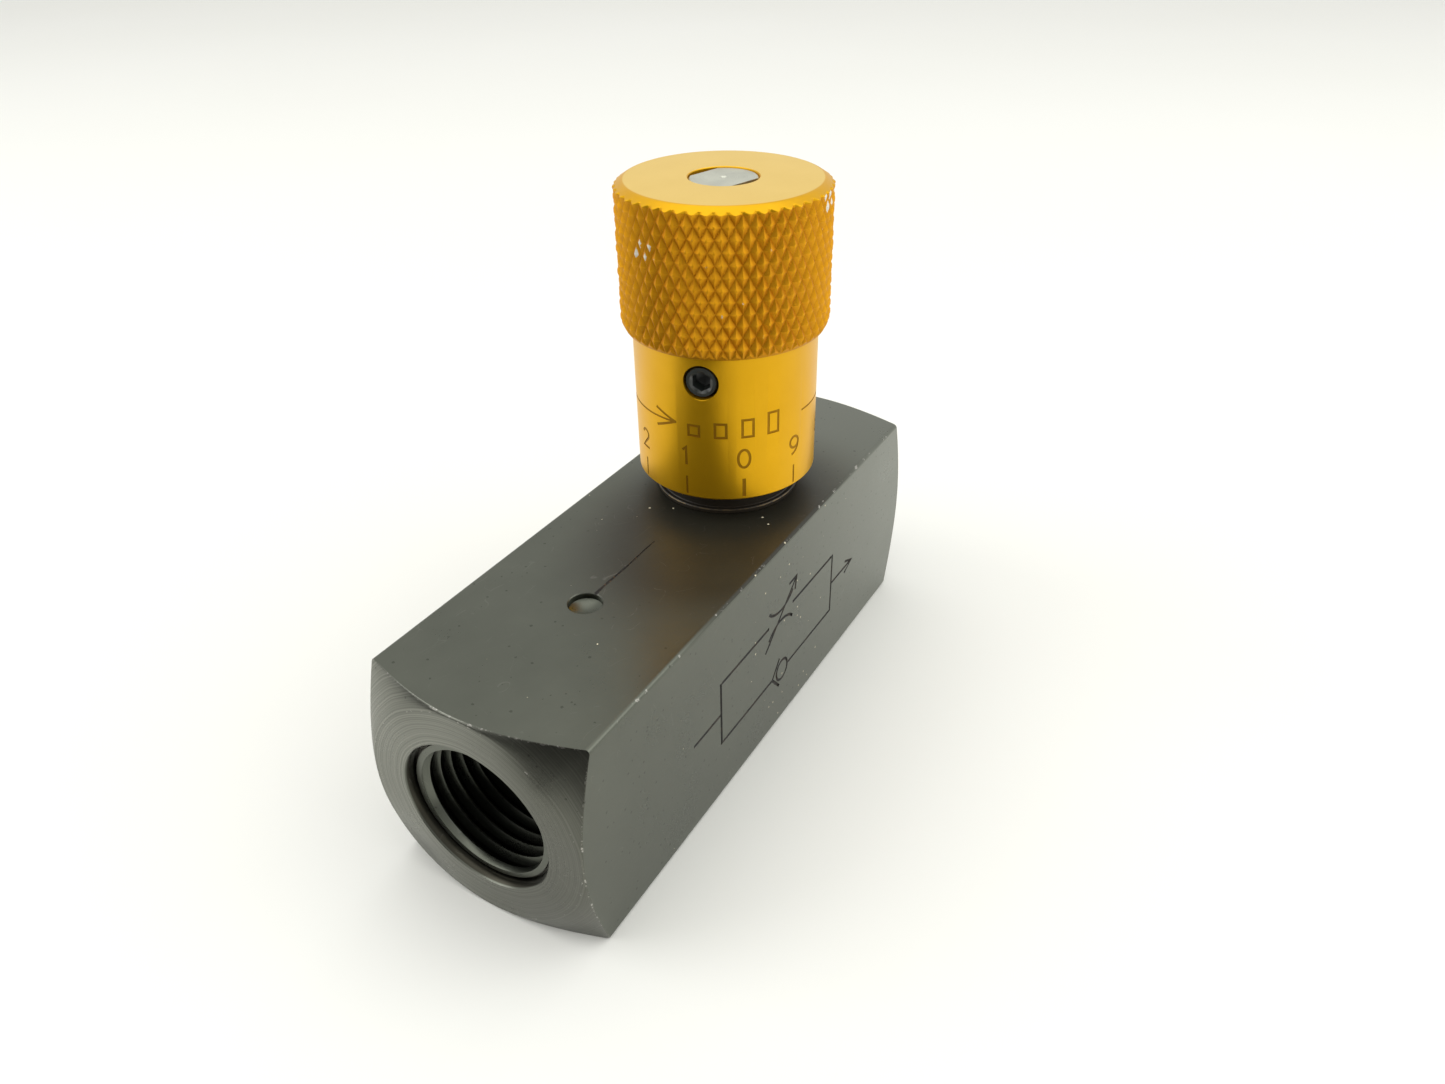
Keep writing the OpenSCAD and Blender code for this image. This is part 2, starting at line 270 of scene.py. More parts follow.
def ribbon(path, widths, levels, place, closed=False):
    """Points and faces of a bar that follows a path on a surface. widths and levels are a pair each: the
    bar's width and height above the surface at its outer and its inner side. A width may be a column of
    numbers, one to each point of the path."""
    path = np.array(path, float)
    ahead = np.roll(path, -1, axis=0) - path
    if not closed:
        ahead[-1] = ahead[-2]
    ahead /= np.linalg.norm(ahead, axis=1)[:, None]
    behind = np.roll(ahead, 1, axis=0)
    if not closed:
        behind[0] = ahead[0]
    across = ahead + behind
    across = np.stack([-across[:, 1], across[:, 0]], axis=1)
    across /= np.linalg.norm(across, axis=1)[:, None]
    square = np.stack([-ahead[:, 1], ahead[:, 0]], axis=1)
    across /= np.maximum((across * square).sum(axis=1), 0.5)[:, None]
    corners = []
    for width, level in ((widths[0], levels[0]), (widths[1], levels[1])):
        for side in (0.5, -0.5):
            edge = path + across * side * width
            corners.append(place(edge[:, 0], edge[:, 1], np.full(len(path), level)))
    points = np.stack(corners, axis=1).reshape(-1, 3)
    faces = []
    for i in range(len(path) if closed else len(path) - 1):
        a, b = 4 * i, 4 * ((i + 1) % len(path))
        for near, far in ((0, 1), (1, 3), (3, 2), (2, 0)):
            faces.append((a + near, a + far, b + far, b + near))
    if not closed:
        last = 4 * (len(path) - 1)
        faces += [(0, 1, 3, 2), (last, last + 2, last + 3, last + 1)]
    return points, faces


def joined(name, parts):
    """One object from several lists of points and faces."""
    points, faces = [], []
    for part_points, part_faces in parts:
        shift = sum(len(p) for p in points)
        points.append(part_points)
        faces += [tuple(i + shift for i in face) for face in part_faces]
    return build(name, np.concatenate(points), faces)


def cut(thing, cutters):
    """Cuts each cutter out of the thing in turn, and removes it. A cutter's material lines its cut."""
    for cutter in cutters:
        tool = thing.modifiers.new("cut", "BOOLEAN")
        tool.object = cutter
        tool.operation = "DIFFERENCE"
        tool.solver = "EXACT"
        tool.material_mode = "TRANSFER"
        bpy.context.view_layer.update()
        seen = thing.evaluated_get(bpy.context.evaluated_depsgraph_get())
        result = bpy.data.meshes.new_from_object(seen)
        thing.modifiers.clear()
        clean(result)
        thing.data = result
        bpy.data.objects.remove(cutter)


def smooth(thing, degrees=28, even=True):
    """Rounds the shading except over edges sharper than the angle."""
    thing.data.shade_smooth()
    thing.data.set_sharp_from_angle(angle=math.radians(degrees))
    if even:
        evened = thing.modifiers.new("even_normals", "WEIGHTED_NORMAL")
        evened.keep_sharp = True


def fit(thing, body, slot, *nodes):
    """Puts a finished piece on its CAD body in place of its CAD nodes."""
    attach(thing, body)
    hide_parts(*nodes)


# ---- Materials: wiring helpers --------------------------------------------------------------------------
class Wiring:
    """Adds nodes to one node tree. A value may be a number, a tuple or another node's output."""

    def __init__(self, tree):
        self.tree = tree

    def node(self, kind, values=None, **settings):
        made = self.tree.nodes.new(kind)
        for name, value in settings.items():
            setattr(made, name, value)
        for name, value in (values or {}).items():
            self.put(made.inputs[name], value)
        return made

    def put(self, socket, value):
        if isinstance(value, bpy.types.NodeSocket):
            self.tree.links.new(value, socket)
        else:
            socket.default_value = value

    def maths(self, operation, a, b=0.0, c=0.0):
        return self.node("ShaderNodeMath", {0: a, 1: b, 2: c}, operation=operation).outputs[0]

    def plus(self, a, b):
        return self.maths("ADD", a, b)

    def minus(self, a, b):
        return self.maths("SUBTRACT", a, b)

    def times(self, a, b):
        return self.maths("MULTIPLY", a, b)

    def over(self, a, b):
        return self.maths("DIVIDE", a, b)

    def larger(self, a, b):
        return self.maths("MAXIMUM", a, b)

    def absolute(self, a):
        return self.maths("ABSOLUTE", a)

    def above(self, a, limit):
        return self.maths("GREATER_THAN", a, limit)

    def below(self, a, limit):
        return self.maths("LESS_THAN", a, limit)

    def total(self, base, *weighted):
        """A number plus some values, each with its weight."""
        for value, weight in weighted:
            base = self.maths("MULTIPLY_ADD", value, weight, base)
        return base

    def distance(self, a, b):
        return self.vector("LENGTH", self.vector("SUBTRACT", a, b))

    def vector(self, operation, a, b=(0, 0, 0)):
        made = self.node("ShaderNodeVectorMath", {0: a, 1: b}, operation=operation)
        return made.outputs["Value" if operation in ("DOT_PRODUCT", "LENGTH") else "Vector"]

    def scaled(self, a, factor):
        return self.node("ShaderNodeVectorMath", {0: a, "Scale": factor}, operation="SCALE").outputs[0]

    def parts(self, a):
        return self.node("ShaderNodeSeparateXYZ", {0: a}).outputs

    def together(self, x, y, z):
        return self.node("ShaderNodeCombineXYZ", {0: x, 1: y, 2: z}).outputs[0]

    def step(self, value, low, high, out_low=0.0, out_high=1.0):
        """Turns smoothly from out_low to out_high as the value goes from low to high."""
        values = {"Value": value, "From Min": low, "From Max": high, "To Min": out_low, "To Max": out_high}
        return self.node("ShaderNodeMapRange", values, interpolation_type="SMOOTHSTEP").outputs[0]

    def mix(self, factor, *colours):
        """Blends two colours, each an output or red, green and blue."""
        made = self.node("ShaderNodeMix", {"Factor": factor}, data_type="RGBA")
        for number, colour in zip((6, 7), colours):
            self.put(made.inputs[number], (*colour, 1) if isinstance(colour, tuple) else colour)
        return made.outputs[2]

    def noise(self, position, scale, detail=2.0, roughness=0.5, distortion=0.0):
        values = {"Vector": position, "Scale": scale, "Detail": detail, "Roughness": roughness,
                  "Distortion": distortion}
        return self.node("ShaderNodeTexNoise", values).outputs[0]

    def noise_along(self, value, detail=2.0):
        """Noise that runs along a single number."""
        values = {"W": value, "Scale": 1.0, "Detail": detail}
        return self.node("ShaderNodeTexNoise", values, noise_dimensions="1D").outputs[0]

    def fill(self, sockets, **values):
        """Puts values in sockets; a value's name is its socket's, with underscores for spaces."""
        for name, value in values.items():
            self.put(sockets[name.replace("_", " ")], value)

    def use(self, group, **values):
        """A node group in this tree."""
        made = self.tree.nodes.new("ShaderNodeGroup")
        made.node_tree = group
        self.fill(made.inputs, **values)
        return made.outputs


def effect(name, inputs, outputs):
    """A new node group with its wiring and the outputs of its input node."""
    group = bpy.data.node_groups.new(name, "ShaderNodeTree")
    for label, kind, default in inputs:
        socket = group.interface.new_socket(name=label, in_out="INPUT", socket_type=kind)
        socket.default_value = default
    for label, kind in outputs:
        group.interface.new_socket(name=label, in_out="OUTPUT", socket_type=kind)
    return group, Wiring(group), group.nodes.new("NodeGroupInput").outputs


def close_effect(wires, **results):
    """Links results to a node group's outputs."""
    wires.fill(wires.tree.nodes.new("NodeGroupOutput").inputs, **results)


FLOAT = "NodeSocketFloat"
VECTOR = "NodeSocketVector"


def turning_marks_effect():
    """Lathe marks: rings over a face square to the axis, and lines round a side along it."""
    inputs = [("Position", VECTOR, (0, 0, 0)), ("Centre", VECTOR, (0, 0, 0)), ("Axis", VECTOR, (0, 0, 1)),
              ("Spacing", FLOAT, 0.1)]
    group, wires, given = effect("turning_marks", inputs, [("Face", FLOAT), ("Side", FLOAT)])
    offset = wires.vector("SUBTRACT", given["Position"], given["Centre"])
    height = wires.vector("DOT_PRODUCT", offset, given["Axis"])
    flat = wires.vector("SUBTRACT", offset, wires.scaled(given["Axis"], height))
    radius = wires.vector("LENGTH", flat)
    wander = wires.times(wires.noise(given["Position"], 0.25, detail=0), 1.5)
    face = wires.plus(wires.over(radius, given["Spacing"]), wander)
    side = wires.plus(wires.over(height, given["Spacing"]), wander)
    close_effect(wires, Face=wires.noise_along(face, detail=3), Side=wires.noise_along(side, detail=3))
    return group


def mottling_effect():
    """Broad and fine cloudiness of a blackened, anodised or moulded skin, each from 0 to 1."""
    inputs = [("Position", VECTOR, (0, 0, 0)), ("Broad Size", FLOAT, 8.0), ("Fine Size", FLOAT, 0.4)]
    group, wires, given = effect("mottling", inputs, [("Broad", FLOAT), ("Fine", FLOAT)])
    broad = wires.noise(given["Position"], wires.over(1.0, given["Broad Size"]), detail=4)
    fine = wires.noise(given["Position"], wires.over(1.0, given["Fine Size"]), detail=3)
    close_effect(wires, Broad=broad, Fine=fine)
    return group


def specks_effect():
    """Small grains of dust or pits: a mask of uneven dots, most of them missing."""
    inputs = [("Position", VECTOR, (0, 0, 0)), ("Spacing", FLOAT, 2.0), ("Size", FLOAT, 0.1),
              ("Share", FLOAT, 0.3)]
    group, wires, given = effect("specks", inputs, [("Mask", FLOAT)])
    wobble = wires.node("ShaderNodeTexNoise", {"Vector": given["Position"], "Scale": 6.0}).outputs["Color"]
    bent = wires.vector("ADD", given["Position"], wires.scaled(wobble, 0.25))
    spread = wires.scaled(bent, wires.over(1.0, given["Spacing"]))
    cells = wires.node("ShaderNodeTexVoronoi", {"Scale": 1.0, "Vector": spread})
    luck = wires.parts(cells.outputs["Color"])
    radius = wires.times(given["Size"], wires.plus(luck["Y"], 0.4))
    reach = wires.over(radius, given["Spacing"])
    near = wires.below(cells.outputs["Distance"], reach)
    chosen = wires.below(luck["X"], given["Share"])
    close_effect(wires, Mask=wires.times(near, chosen))
    return group


def scratches_effect():
    """Thin broken scratches that run along one direction of the surface."""
    inputs = [("Position", VECTOR, (0, 0, 0)), ("Turn", FLOAT, 0.0), ("Spacing", FLOAT, 4.0),
              ("Length", FLOAT, 12.0), ("Width", FLOAT, 0.02)]
    group, wires, given = effect("scratches", inputs, [("Mask", FLOAT)])
    turn = {"Vector": given["Position"], "Axis": (0.3, 0.9, 0.31), "Angle": given["Turn"]}
    x, y, z = wires.parts(wires.node("ShaderNodeVectorRotate", turn).outputs[0])
    along = wires.over(x, given["Length"])
    over = wires.over(y, given["Spacing"])
    up = wires.over(z, given["Spacing"])
    field = wires.noise(wires.together(along, over, up), 1.0, detail=1, distortion=0.3)
    line = wires.absolute(wires.minus(field, 0.5))
    thin = wires.step(line, 0.0, given["Width"], 1.0, 0.0)
    broken = wires.step(wires.noise(given["Position"], 0.45, detail=2), 0.54, 0.6)
    close_effect(wires, Mask=wires.times(thin, broken))
    return group


def wear_effect():
    """Patches of bare metal: Closeness is 1 on an edge and falls to 0 away from it."""
    inputs = [("Position", VECTOR, (0, 0, 0)), ("Closeness", FLOAT, 0.0), ("Patch Size", FLOAT, 1.2),
              ("Amount", FLOAT, 0.5)]
    group, wires, given = effect("wear", inputs, [("Mask", FLOAT)])
    patches = wires.noise(given["Position"], wires.over(1.0, given["Patch Size"]), detail=5,
                          roughness=0.65)
    level = wires.minus(1.0, wires.times(given["Closeness"], given["Amount"]))
    edge = wires.minus(patches, level)
    close_effect(wires, Mask=wires.step(edge, -0.04, 0.04))
    return group


TURNING = turning_marks_effect()
MOTTLING = mottling_effect()
SPECKS = specks_effect()
SCRATCHES = scratches_effect()
WEAR = wear_effect()
PORT_AXIS = (1, 0, 0)
PORT_CENTRE = (0, 0, PORT_Z)
KNOB_AXIS = (0, 0, 1)
KNOB_FOOT = (KNOB_X, 0, 0)
SCREW_CENTRE = (KNOB_X, 0, SCREW_Z)
SCREW_AXIS = (math.cos(SCREW_DIRECTION), math.sin(SCREW_DIRECTION), 0)


def new_material(name):
    """A material with its wiring, its Principled shader and the surface position in millimetres."""
    material = bpy.data.materials.new(name)
    material.use_nodes = True
    wires = Wiring(material.node_tree)
    shader = material.node_tree.nodes["Principled BSDF"]
    place = wires.node("ShaderNodeTexCoord").outputs["Object"]
    return material, wires, shader, wires.scaled(place, 1 / MM)


def set_bump(wires, shader, height, depth):
    """Feeds a height from 0 to 1 to the shader's normal; depth is in millimetres."""
    bump = wires.node("ShaderNodeBump", {"Strength": 1.0, "Distance": depth * MM, "Height": height})
    wires.fill(shader.inputs, Normal=bump.outputs[0])


def radius_from_knob_axis(wires, place):
    """Distance of the surface from the knob's axis."""
    offset = wires.vector("SUBTRACT", place, KNOB_FOOT)
    return wires.vector("LENGTH", wires.vector("MULTIPLY", offset, (1, 1, 0)))


# ---- Materials: finishes --------------------------------------------------------------------------------
def block_outline(wires, place):
    """Where the surface lies on the block: its coordinates and its distances from the axis and the ends."""
    x, y, z = wires.parts(place)
    off_y = wires.absolute(y)
    off_z = wires.absolute(wires.minus(z, PORT_Z))
    radius = wires.maths("SQRT", wires.plus(wires.times(off_y, off_y), wires.times(off_z, off_z)))
    rise = wires.times(wires.larger(wires.minus(radius, END_DISC_R), 0.0), END_SLOPE)
    from_end = wires.minus(wires.minus(HALF_L, rise), wires.absolute(x))
    return {"x": x, "y": y, "z": z, "radius": radius, "from_end": from_end,
            "end_face": wires.step(from_end, 0.02, 0.1, 1.0, 0.0),
            "square_reach": wires.larger(off_y, off_z),
            "corner_reach": wires.maths("MINIMUM", off_y, off_z)}


def block_bare_metal(wires, place, at):
    """Nicks along the block's edges and light scratches over its faces."""
    rim = wires.times(wires.step(at["from_end"], 0.0, 0.35, 1.0, 0.0),
                      wires.step(at["square_reach"], HALF_W - 0.45, HALF_W - 0.1))
    off_disc = wires.absolute(wires.minus(at["radius"], END_DISC_R))
    disc_rim = wires.times(at["end_face"], wires.step(off_disc, 0.05, 0.3, 1.0, 0.0))
    long_edge = wires.step(at["corner_reach"], HALF_W - 0.75, HALF_W - 0.3)
    bare = 0.0
    for edge, patch_size, amount in ((rim, 0.6, 0.43), (disc_rim, 0.7, 0.38), (long_edge, 1.2, 0.38)):
        patches = wires.use(WEAR, Position=place, Closeness=edge, Patch_Size=patch_size, Amount=amount)
        bare = wires.larger(bare, patches["Mask"])
    scratched = 0.0
    for turn, spacing, length in ((0.5, 6.0, 30.0), (2.1, 5.0, 24.0)):
        thin = wires.use(SCRATCHES, Position=place, Turn=turn, Spacing=spacing, Length=length, Width=0.003)
        scratched = wires.larger(scratched, thin["Mask"])
    return wires.larger(bare, wires.times(scratched, 0.12))


def block_dust(wires, place, at):
    """Swarf near the knob, and a little lint all over."""
    swarf = wires.use(SPECKS, Position=place, Spacing=1.4, Size=0.12, Share=0.35)["Mask"]
    lint = wires.use(SPECKS, Position=place, Spacing=2.8, Size=0.08, Share=0.3)["Mask"]
    near_knob = wires.below(wires.absolute(wires.minus(at["x"], KNOB_X - 10)), 12.0)
    return wires.larger(wires.times(swarf, near_knob), lint)


def block_film_and_shade(wires, place, at, broad):
    """An oily film on the top face beside the knob, painted near-black there as shade: it stands for the
    knob's dark reflection and shadow round its foot.
    """
    offset = wires.vector("SUBTRACT", place, (KNOB_X - 12, -6, TOP_Z))
    reach = wires.vector("LENGTH", wires.vector("MULTIPLY", offset, (0.85, 1.2, 1)))
    film = wires.times(wires.step(reach, 13.0, 28.0, 0.98, 0.0), wires.above(at["z"], TOP_Z - 0.3))
    return wires.times(film, wires.step(broad, 0.3, 0.6, 0.92, 1.0))


def block_tone(wires, place, at, rings, broad):
    """The oxide's colour: cloudy sides made lighter towards the far end as painted reflection, ringed ends
    where it took less evenly, darker towards the front side as painted shade, mouths darkened partly by grime
    and partly as painted shade, and pits.
    """
    cloudy = wires.mix(broad, (0.112, 0.119, 0.099), (0.152, 0.160, 0.134))
    # painted reflection: the oxide is made lighter towards the far end, where its faces mirror more of the
    # bright floor
    lighter_far_end = wires.mix(wires.step(at["x"], -5.0, HALF_L, 0.0, 0.8), cloudy, (0.205, 0.215, 0.186))
    ringed = wires.mix(wires.step(rings, 0.35, 0.7), (0.160, 0.165, 0.142), (0.235, 0.238, 0.207))
    # painted shade: the turned end is made darker towards the front side, standing for the shaded floor it
    # mirrors there
    uneven = wires.step(wires.total(0.0, (broad, 8.0), (at["y"], 1.0)), -8.0, 10.0, 0.62, 0.0)
    shaded_turned_end = wires.mix(uneven, ringed, (0.085, 0.086, 0.072))
    # the mouth's wall darkens deeper in: partly grime, partly painted shade in the recess
    mouth_wall = wires.times(wires.step(at["radius"], MOUTH_GROOVE[0] - 0.2, MOUTH_GROOVE[0]),
                             wires.step(at["radius"], MOUTH_R - 0.05, MOUTH_R + 0.03, 1.0, 0.0))
    grime_and_shade = wires.times(mouth_wall, wires.step(at["from_end"], 0.03, 0.2, 0.0, 0.85))
    finish = wires.mix(grime_and_shade, wires.mix(at["end_face"], lighter_far_end, shaded_turned_end), (0.030, 0.026, 0.019))
    pits = wires.use(SPECKS, Position=place, Spacing=1.1, Size=0.16, Share=0.35)["Mask"]
    return wires.mix(wires.times(pits, 0.45), finish, (0.035, 0.036, 0.030))


def block_oxide():
    """Black oxide on the milled block: turned ends, bare nicks on the edges, dust and light scratches, with
    painted shade and reflection in its colour.
    """
    material, wires, shader, place = new_material("block_oxide")
    at = block_outline(wires, place)
    end_face = at["end_face"]
    marks = wires.use(TURNING, Position=place, Centre=PORT_CENTRE, Axis=PORT_AXIS, Spacing=0.22)
    fine_marks = wires.use(TURNING, Position=place, Centre=PORT_CENTRE, Axis=PORT_AXIS, Spacing=0.07)
    cloud = wires.use(MOTTLING, Position=place, Broad_Size=9.0, Fine_Size=0.35)
    bare = block_bare_metal(wires, place, at)
    dust = block_dust(wires, place, at)
    # a duller oily film, painted darker round the knob's foot as shade and as the knob's dark reflection
    film_and_shade = block_film_and_shade(wires, place, at, cloud["Broad"])

    oxide = block_tone(wires, place, at, marks["Face"], cloud["Broad"])
    # the film's near-black colour is painted shade and reflection round the knob
    worn = wires.mix(bare, wires.mix(film_and_shade, oxide, (0.021, 0.019, 0.012)), (0.38, 0.37, 0.34))
    dull = wires.total(0.0, (dust, 1.0), (film_and_shade, 0.75))
    rough = wires.total(0.20, (cloud["Broad"], 0.12), (cloud["Fine"], 0.08), (dust, 0.4),
                        (end_face, -0.01), (film_and_shade, 0.12))
    wires.fill(shader.inputs, Base_Color=wires.mix(dust, worn, (0.66, 0.60, 0.44)),
               Metallic=wires.larger(wires.minus(1.0, dull), 0.0), Roughness=rough)

    milled = wires.noise(wires.vector("MULTIPLY", place, (0.08, 1.6, 1.6)), 1.0, detail=4)
    end_marks = wires.times(wires.total(0.0, (marks["Face"], 0.5), (fine_marks["Face"], 0.7)), end_face)
    side_marks = wires.times(milled, wires.minus(1.0, end_face))
    height = wires.total(0.0, (end_marks, 1.0), (side_marks, 0.6), (cloud["Fine"], 0.35), (bare, -0.5))
    set_bump(wires, shader, height, 0.006)
    return material


def scribed_line():
    """Near-black lining of the stamped and scribed lines, darker than the oxide round them, with yellow metal
    dust in the index line's wide end.
    """
    material, wires, shader, place = new_material("scribed_line")
    cloud = wires.use(MOTTLING, Position=place, Broad_Size=1.4, Fine_Size=0.25)
    along = wires.parts(place)
    specks = wires.use(SPECKS, Position=place, Spacing=0.5, Size=0.22, Share=0.6)["Mask"]
    caught = wires.times(wires.step(along["X"], INDEX_FROM + 0.8, INDEX_FROM + 2.5, 1.0, 0.1),
                         wires.above(along["Z"], TOP_Z - 0.5))
    grit = wires.times(specks, caught)
    dark = wires.mix(wires.step(cloud["Broad"], 0.42, 0.6), (0.010, 0.009, 0.008), (0.030, 0.022, 0.015))
    wires.fill(shader.inputs, Base_Color=wires.mix(grit, dark, (0.50, 0.24, 0.06)),
               Roughness=wires.total(0.45, (cloud["Fine"], 0.3)))
    set_bump(wires, shader, cloud["Fine"], 0.02)
    return material


def knob_regions(wires, place):
    """Masks of the knob's top face and of its knurled grip."""
    z = wires.parts(place)["Z"]
    knurl_top = KNOB_TOP_Z - GRIP_TOP_CHAMFER
    on_top = wires.step(z, KNOB_TOP_Z - 0.03, KNOB_TOP_Z - 0.005)
    on_grip = wires.minus(wires.step(z, GRIP_Z - 0.05, GRIP_Z + 0.05),
                          wires.step(z, knurl_top - 0.05, knurl_top + 0.05))
    return on_top, on_grip


def knob_bare_metal(wires, place, radius, on_grip, depth):
    """Knurl tips that two knocks or long use have laid bare, and a few specks."""
    knock = wires.step(wires.distance(place, (KNOB_X - 13.5, 3.6, 69.8)), 1.2, 3.1, 1.0, 0.0)
    edge_knock = wires.step(wires.distance(place, (KNOB_X + 1.8, -13.9, 74.5)), 1.0, 3.8, 1.0, 0.0)
    near_knock = wires.times(wires.larger(knock, edge_knock), depth)
    tip = wires.times(wires.step(radius, GRIP_R - 0.1, GRIP_R - 0.02), on_grip)
    knocked = wires.use(WEAR, Position=place, Closeness=near_knock, Patch_Size=1.1, Amount=0.72)["Mask"]
    tips_worn = wires.use(WEAR, Position=place, Closeness=tip, Patch_Size=1.9, Amount=0.36)["Mask"]
    specks = wires.use(SPECKS, Position=place, Spacing=3.0, Size=0.10, Share=0.16)["Mask"]
    return wires.larger(wires.larger(knocked, tips_worn), specks)


def gold_tone(wires, on_top, on_grip, depth, broad):
    """The gold's colour: darker in the knurl's valleys as painted shade, and pale on the turned top."""
    skirt = wires.mix(broad, (0.73, 0.380, 0.006), (0.81, 0.440, 0.011))
    # painted shade: the knurl's valleys get a darker gold than its flanks
    valley_shade = wires.mix(broad, (0.56, 0.24, 0.005), (0.66, 0.295, 0.008))
    flank = wires.mix(broad, (0.72, 0.325, 0.006), (0.82, 0.395, 0.010))
    top = wires.mix(broad, (0.82, 0.58, 0.165), (0.87, 0.63, 0.195))
    side = wires.mix(on_grip, skirt, wires.mix(depth, valley_shade, flank))
    return wires.mix(on_top, side, top)


def gold_anodise():
    """Gold anodising: bright satin skirt, duller knurl with painted shade in its valleys and the odd bare
    tip, pale turned top.
    """
    material, wires, shader, place = new_material("gold_anodise")
    on_top, on_grip = knob_regions(wires, place)
    radius = radius_from_knob_axis(wires, place)
    depth = wires.step(radius, GRIP_R - KNURL_DEPTH, GRIP_R - 0.04)
    marks = wires.use(TURNING, Position=place, Centre=KNOB_FOOT, Axis=KNOB_AXIS, Spacing=0.12)
    broad_marks = wires.use(TURNING, Position=place, Centre=KNOB_FOOT, Axis=KNOB_AXIS, Spacing=0.6)
    cloud = wires.use(MOTTLING, Position=place, Broad_Size=5.0, Fine_Size=0.25)
    bare = knob_bare_metal(wires, place, radius, on_grip, depth)

    gold = gold_tone(wires, on_top, on_grip, depth, cloud["Broad"])
    rough = wires.total(0.32, (cloud["Fine"], 0.10), (on_grip, 0.10), (on_top, 0.10), (bare, 0.12))
    wires.fill(shader.inputs, Base_Color=wires.mix(bare, gold, (0.82, 0.79, 0.70)),
               Metallic=wires.minus(0.80, wires.times(on_grip, 0.04)), Roughness=rough,
               Specular_IOR_Level=0.25)

    torn = wires.noise(wires.vector("MULTIPLY", place, (1, 1, 0.6)), 4.5, detail=3, roughness=0.6)
    on_skirt = wires.minus(1.0, wires.larger(on_top, on_grip))
    height = wires.total(0.0, (wires.times(marks["Side"], on_skirt), 0.8),
                         (wires.times(broad_marks["Side"], on_skirt), 0.5),
                         (wires.times(marks["Face"], on_top), 1.0), (wires.times(torn, on_grip), 22.0),
                         (cloud["Fine"], 0.4), (bare, -1.0))
    set_bump(wires, shader, height, 0.003)
    return material


def dial_etch():
    """Brown etched lines of the dial."""
    material, wires, shader, place = new_material("dial_etch")
    cloud = wires.use(MOTTLING, Position=place, Broad_Size=2.5, Fine_Size=0.15)
    wires.fill(shader.inputs, Base_Color=wires.mix(cloud["Broad"], (0.36, 0.17, 0.006), (0.46, 0.235, 0.012)),
               Roughness=wires.total(0.45, (cloud["Fine"], 0.25)), Metallic=0.9)
    set_bump(wires, shader, cloud["Fine"], 0.01)
    return material


def turned_metal(name, dark, light, rough, centre, axis, spacing=0.12, bump=0.004, metallic=1.0, ior=1.5):
    """A turned or ground metal part: lathe marks round its own axis, light clouding and handling specks."""
    material, wires, shader, place = new_material(name)
    marks = wires.use(TURNING, Position=place, Centre=centre, Axis=axis, Spacing=spacing)
    cloud = wires.use(MOTTLING, Position=place, Broad_Size=3.5, Fine_Size=0.2)
    specks = wires.use(SPECKS, Position=place, Spacing=1.6, Size=0.08, Share=0.2)["Mask"]
    lines = wires.total(0.0, (marks["Face"], 0.5), (marks["Side"], 0.5))
    shade = wires.times(wires.plus(cloud["Broad"], lines), 0.5)
    colour = wires.mix(wires.step(shade, 0.35, 0.65), dark, light)
    spotted = wires.mix(wires.times(specks, 0.6), colour, tuple(0.35 * part for part in dark))
    wires.fill(shader.inputs, Base_Color=spotted, Metallic=metallic, IOR=ior,
               Roughness=wires.total(rough, (cloud["Fine"], 0.12), (lines, 0.08)))
    set_bump(wires, shader, wires.total(0.0, (lines, 1.0), (cloud["Fine"], 0.3)), bump)
    return material


def neck_oxide():
    """Black oxide on the turned bonnet, rubbed thin along the flange's rim."""
    material, wires, shader, place = new_material("neck_oxide")
    radius = radius_from_knob_axis(wires, place)
    marks = wires.use(TURNING, Position=place, Centre=KNOB_FOOT, Axis=KNOB_AXIS, Spacing=0.1)
    cloud = wires.use(MOTTLING, Position=place, Broad_Size=4.0, Fine_Size=0.3)
    rim = wires.times(wires.step(radius, FLANGE_R - 0.25, FLANGE_R - 0.06),
                      wires.step(wires.parts(place)["Z"], TOP_Z + 0.35, TOP_Z + 0.6))
    bare = wires.use(WEAR, Position=place, Closeness=rim, Patch_Size=2.0, Amount=0.54)["Mask"]
    oxide = wires.mix(cloud["Broad"], (0.014, 0.011, 0.007), (0.034, 0.026, 0.016))
    wires.fill(shader.inputs, Base_Color=wires.mix(bare, oxide, (0.12, 0.092, 0.055)),
               Metallic=wires.times(bare, 0.9), IOR=1.45,
               Roughness=wires.total(0.32, (cloud["Fine"], 0.15)))
    lines = wires.total(0.0, (marks["Side"], 0.7), (marks["Face"], 0.7), (cloud["Fine"], 0.3))
    set_bump(wires, shader, lines, 0.006)
    return material


def moulded(name, dark, light, rough, broad, fine, bump, subsurface=0.0):
    """A moulded seal or plastic ring: clouded, faintly grained, no metal."""
    material, wires, shader, place = new_material(name)
    cloud = wires.use(MOTTLING, Position=place, Broad_Size=broad, Fine_Size=fine)
    grains = wires.use(SPECKS, Position=place, Spacing=0.9, Size=0.06, Share=0.25)["Mask"]
    colour = wires.mix(wires.times(grains, 0.3), wires.mix(cloud["Broad"], dark, light), (0.5, 0.49, 0.47))
    wires.fill(shader.inputs, Base_Color=colour, Subsurface_Weight=subsurface,
               Roughness=wires.total(rough, (cloud["Fine"], 0.2)))
    set_bump(wires, shader, cloud["Fine"], bump)
    return material


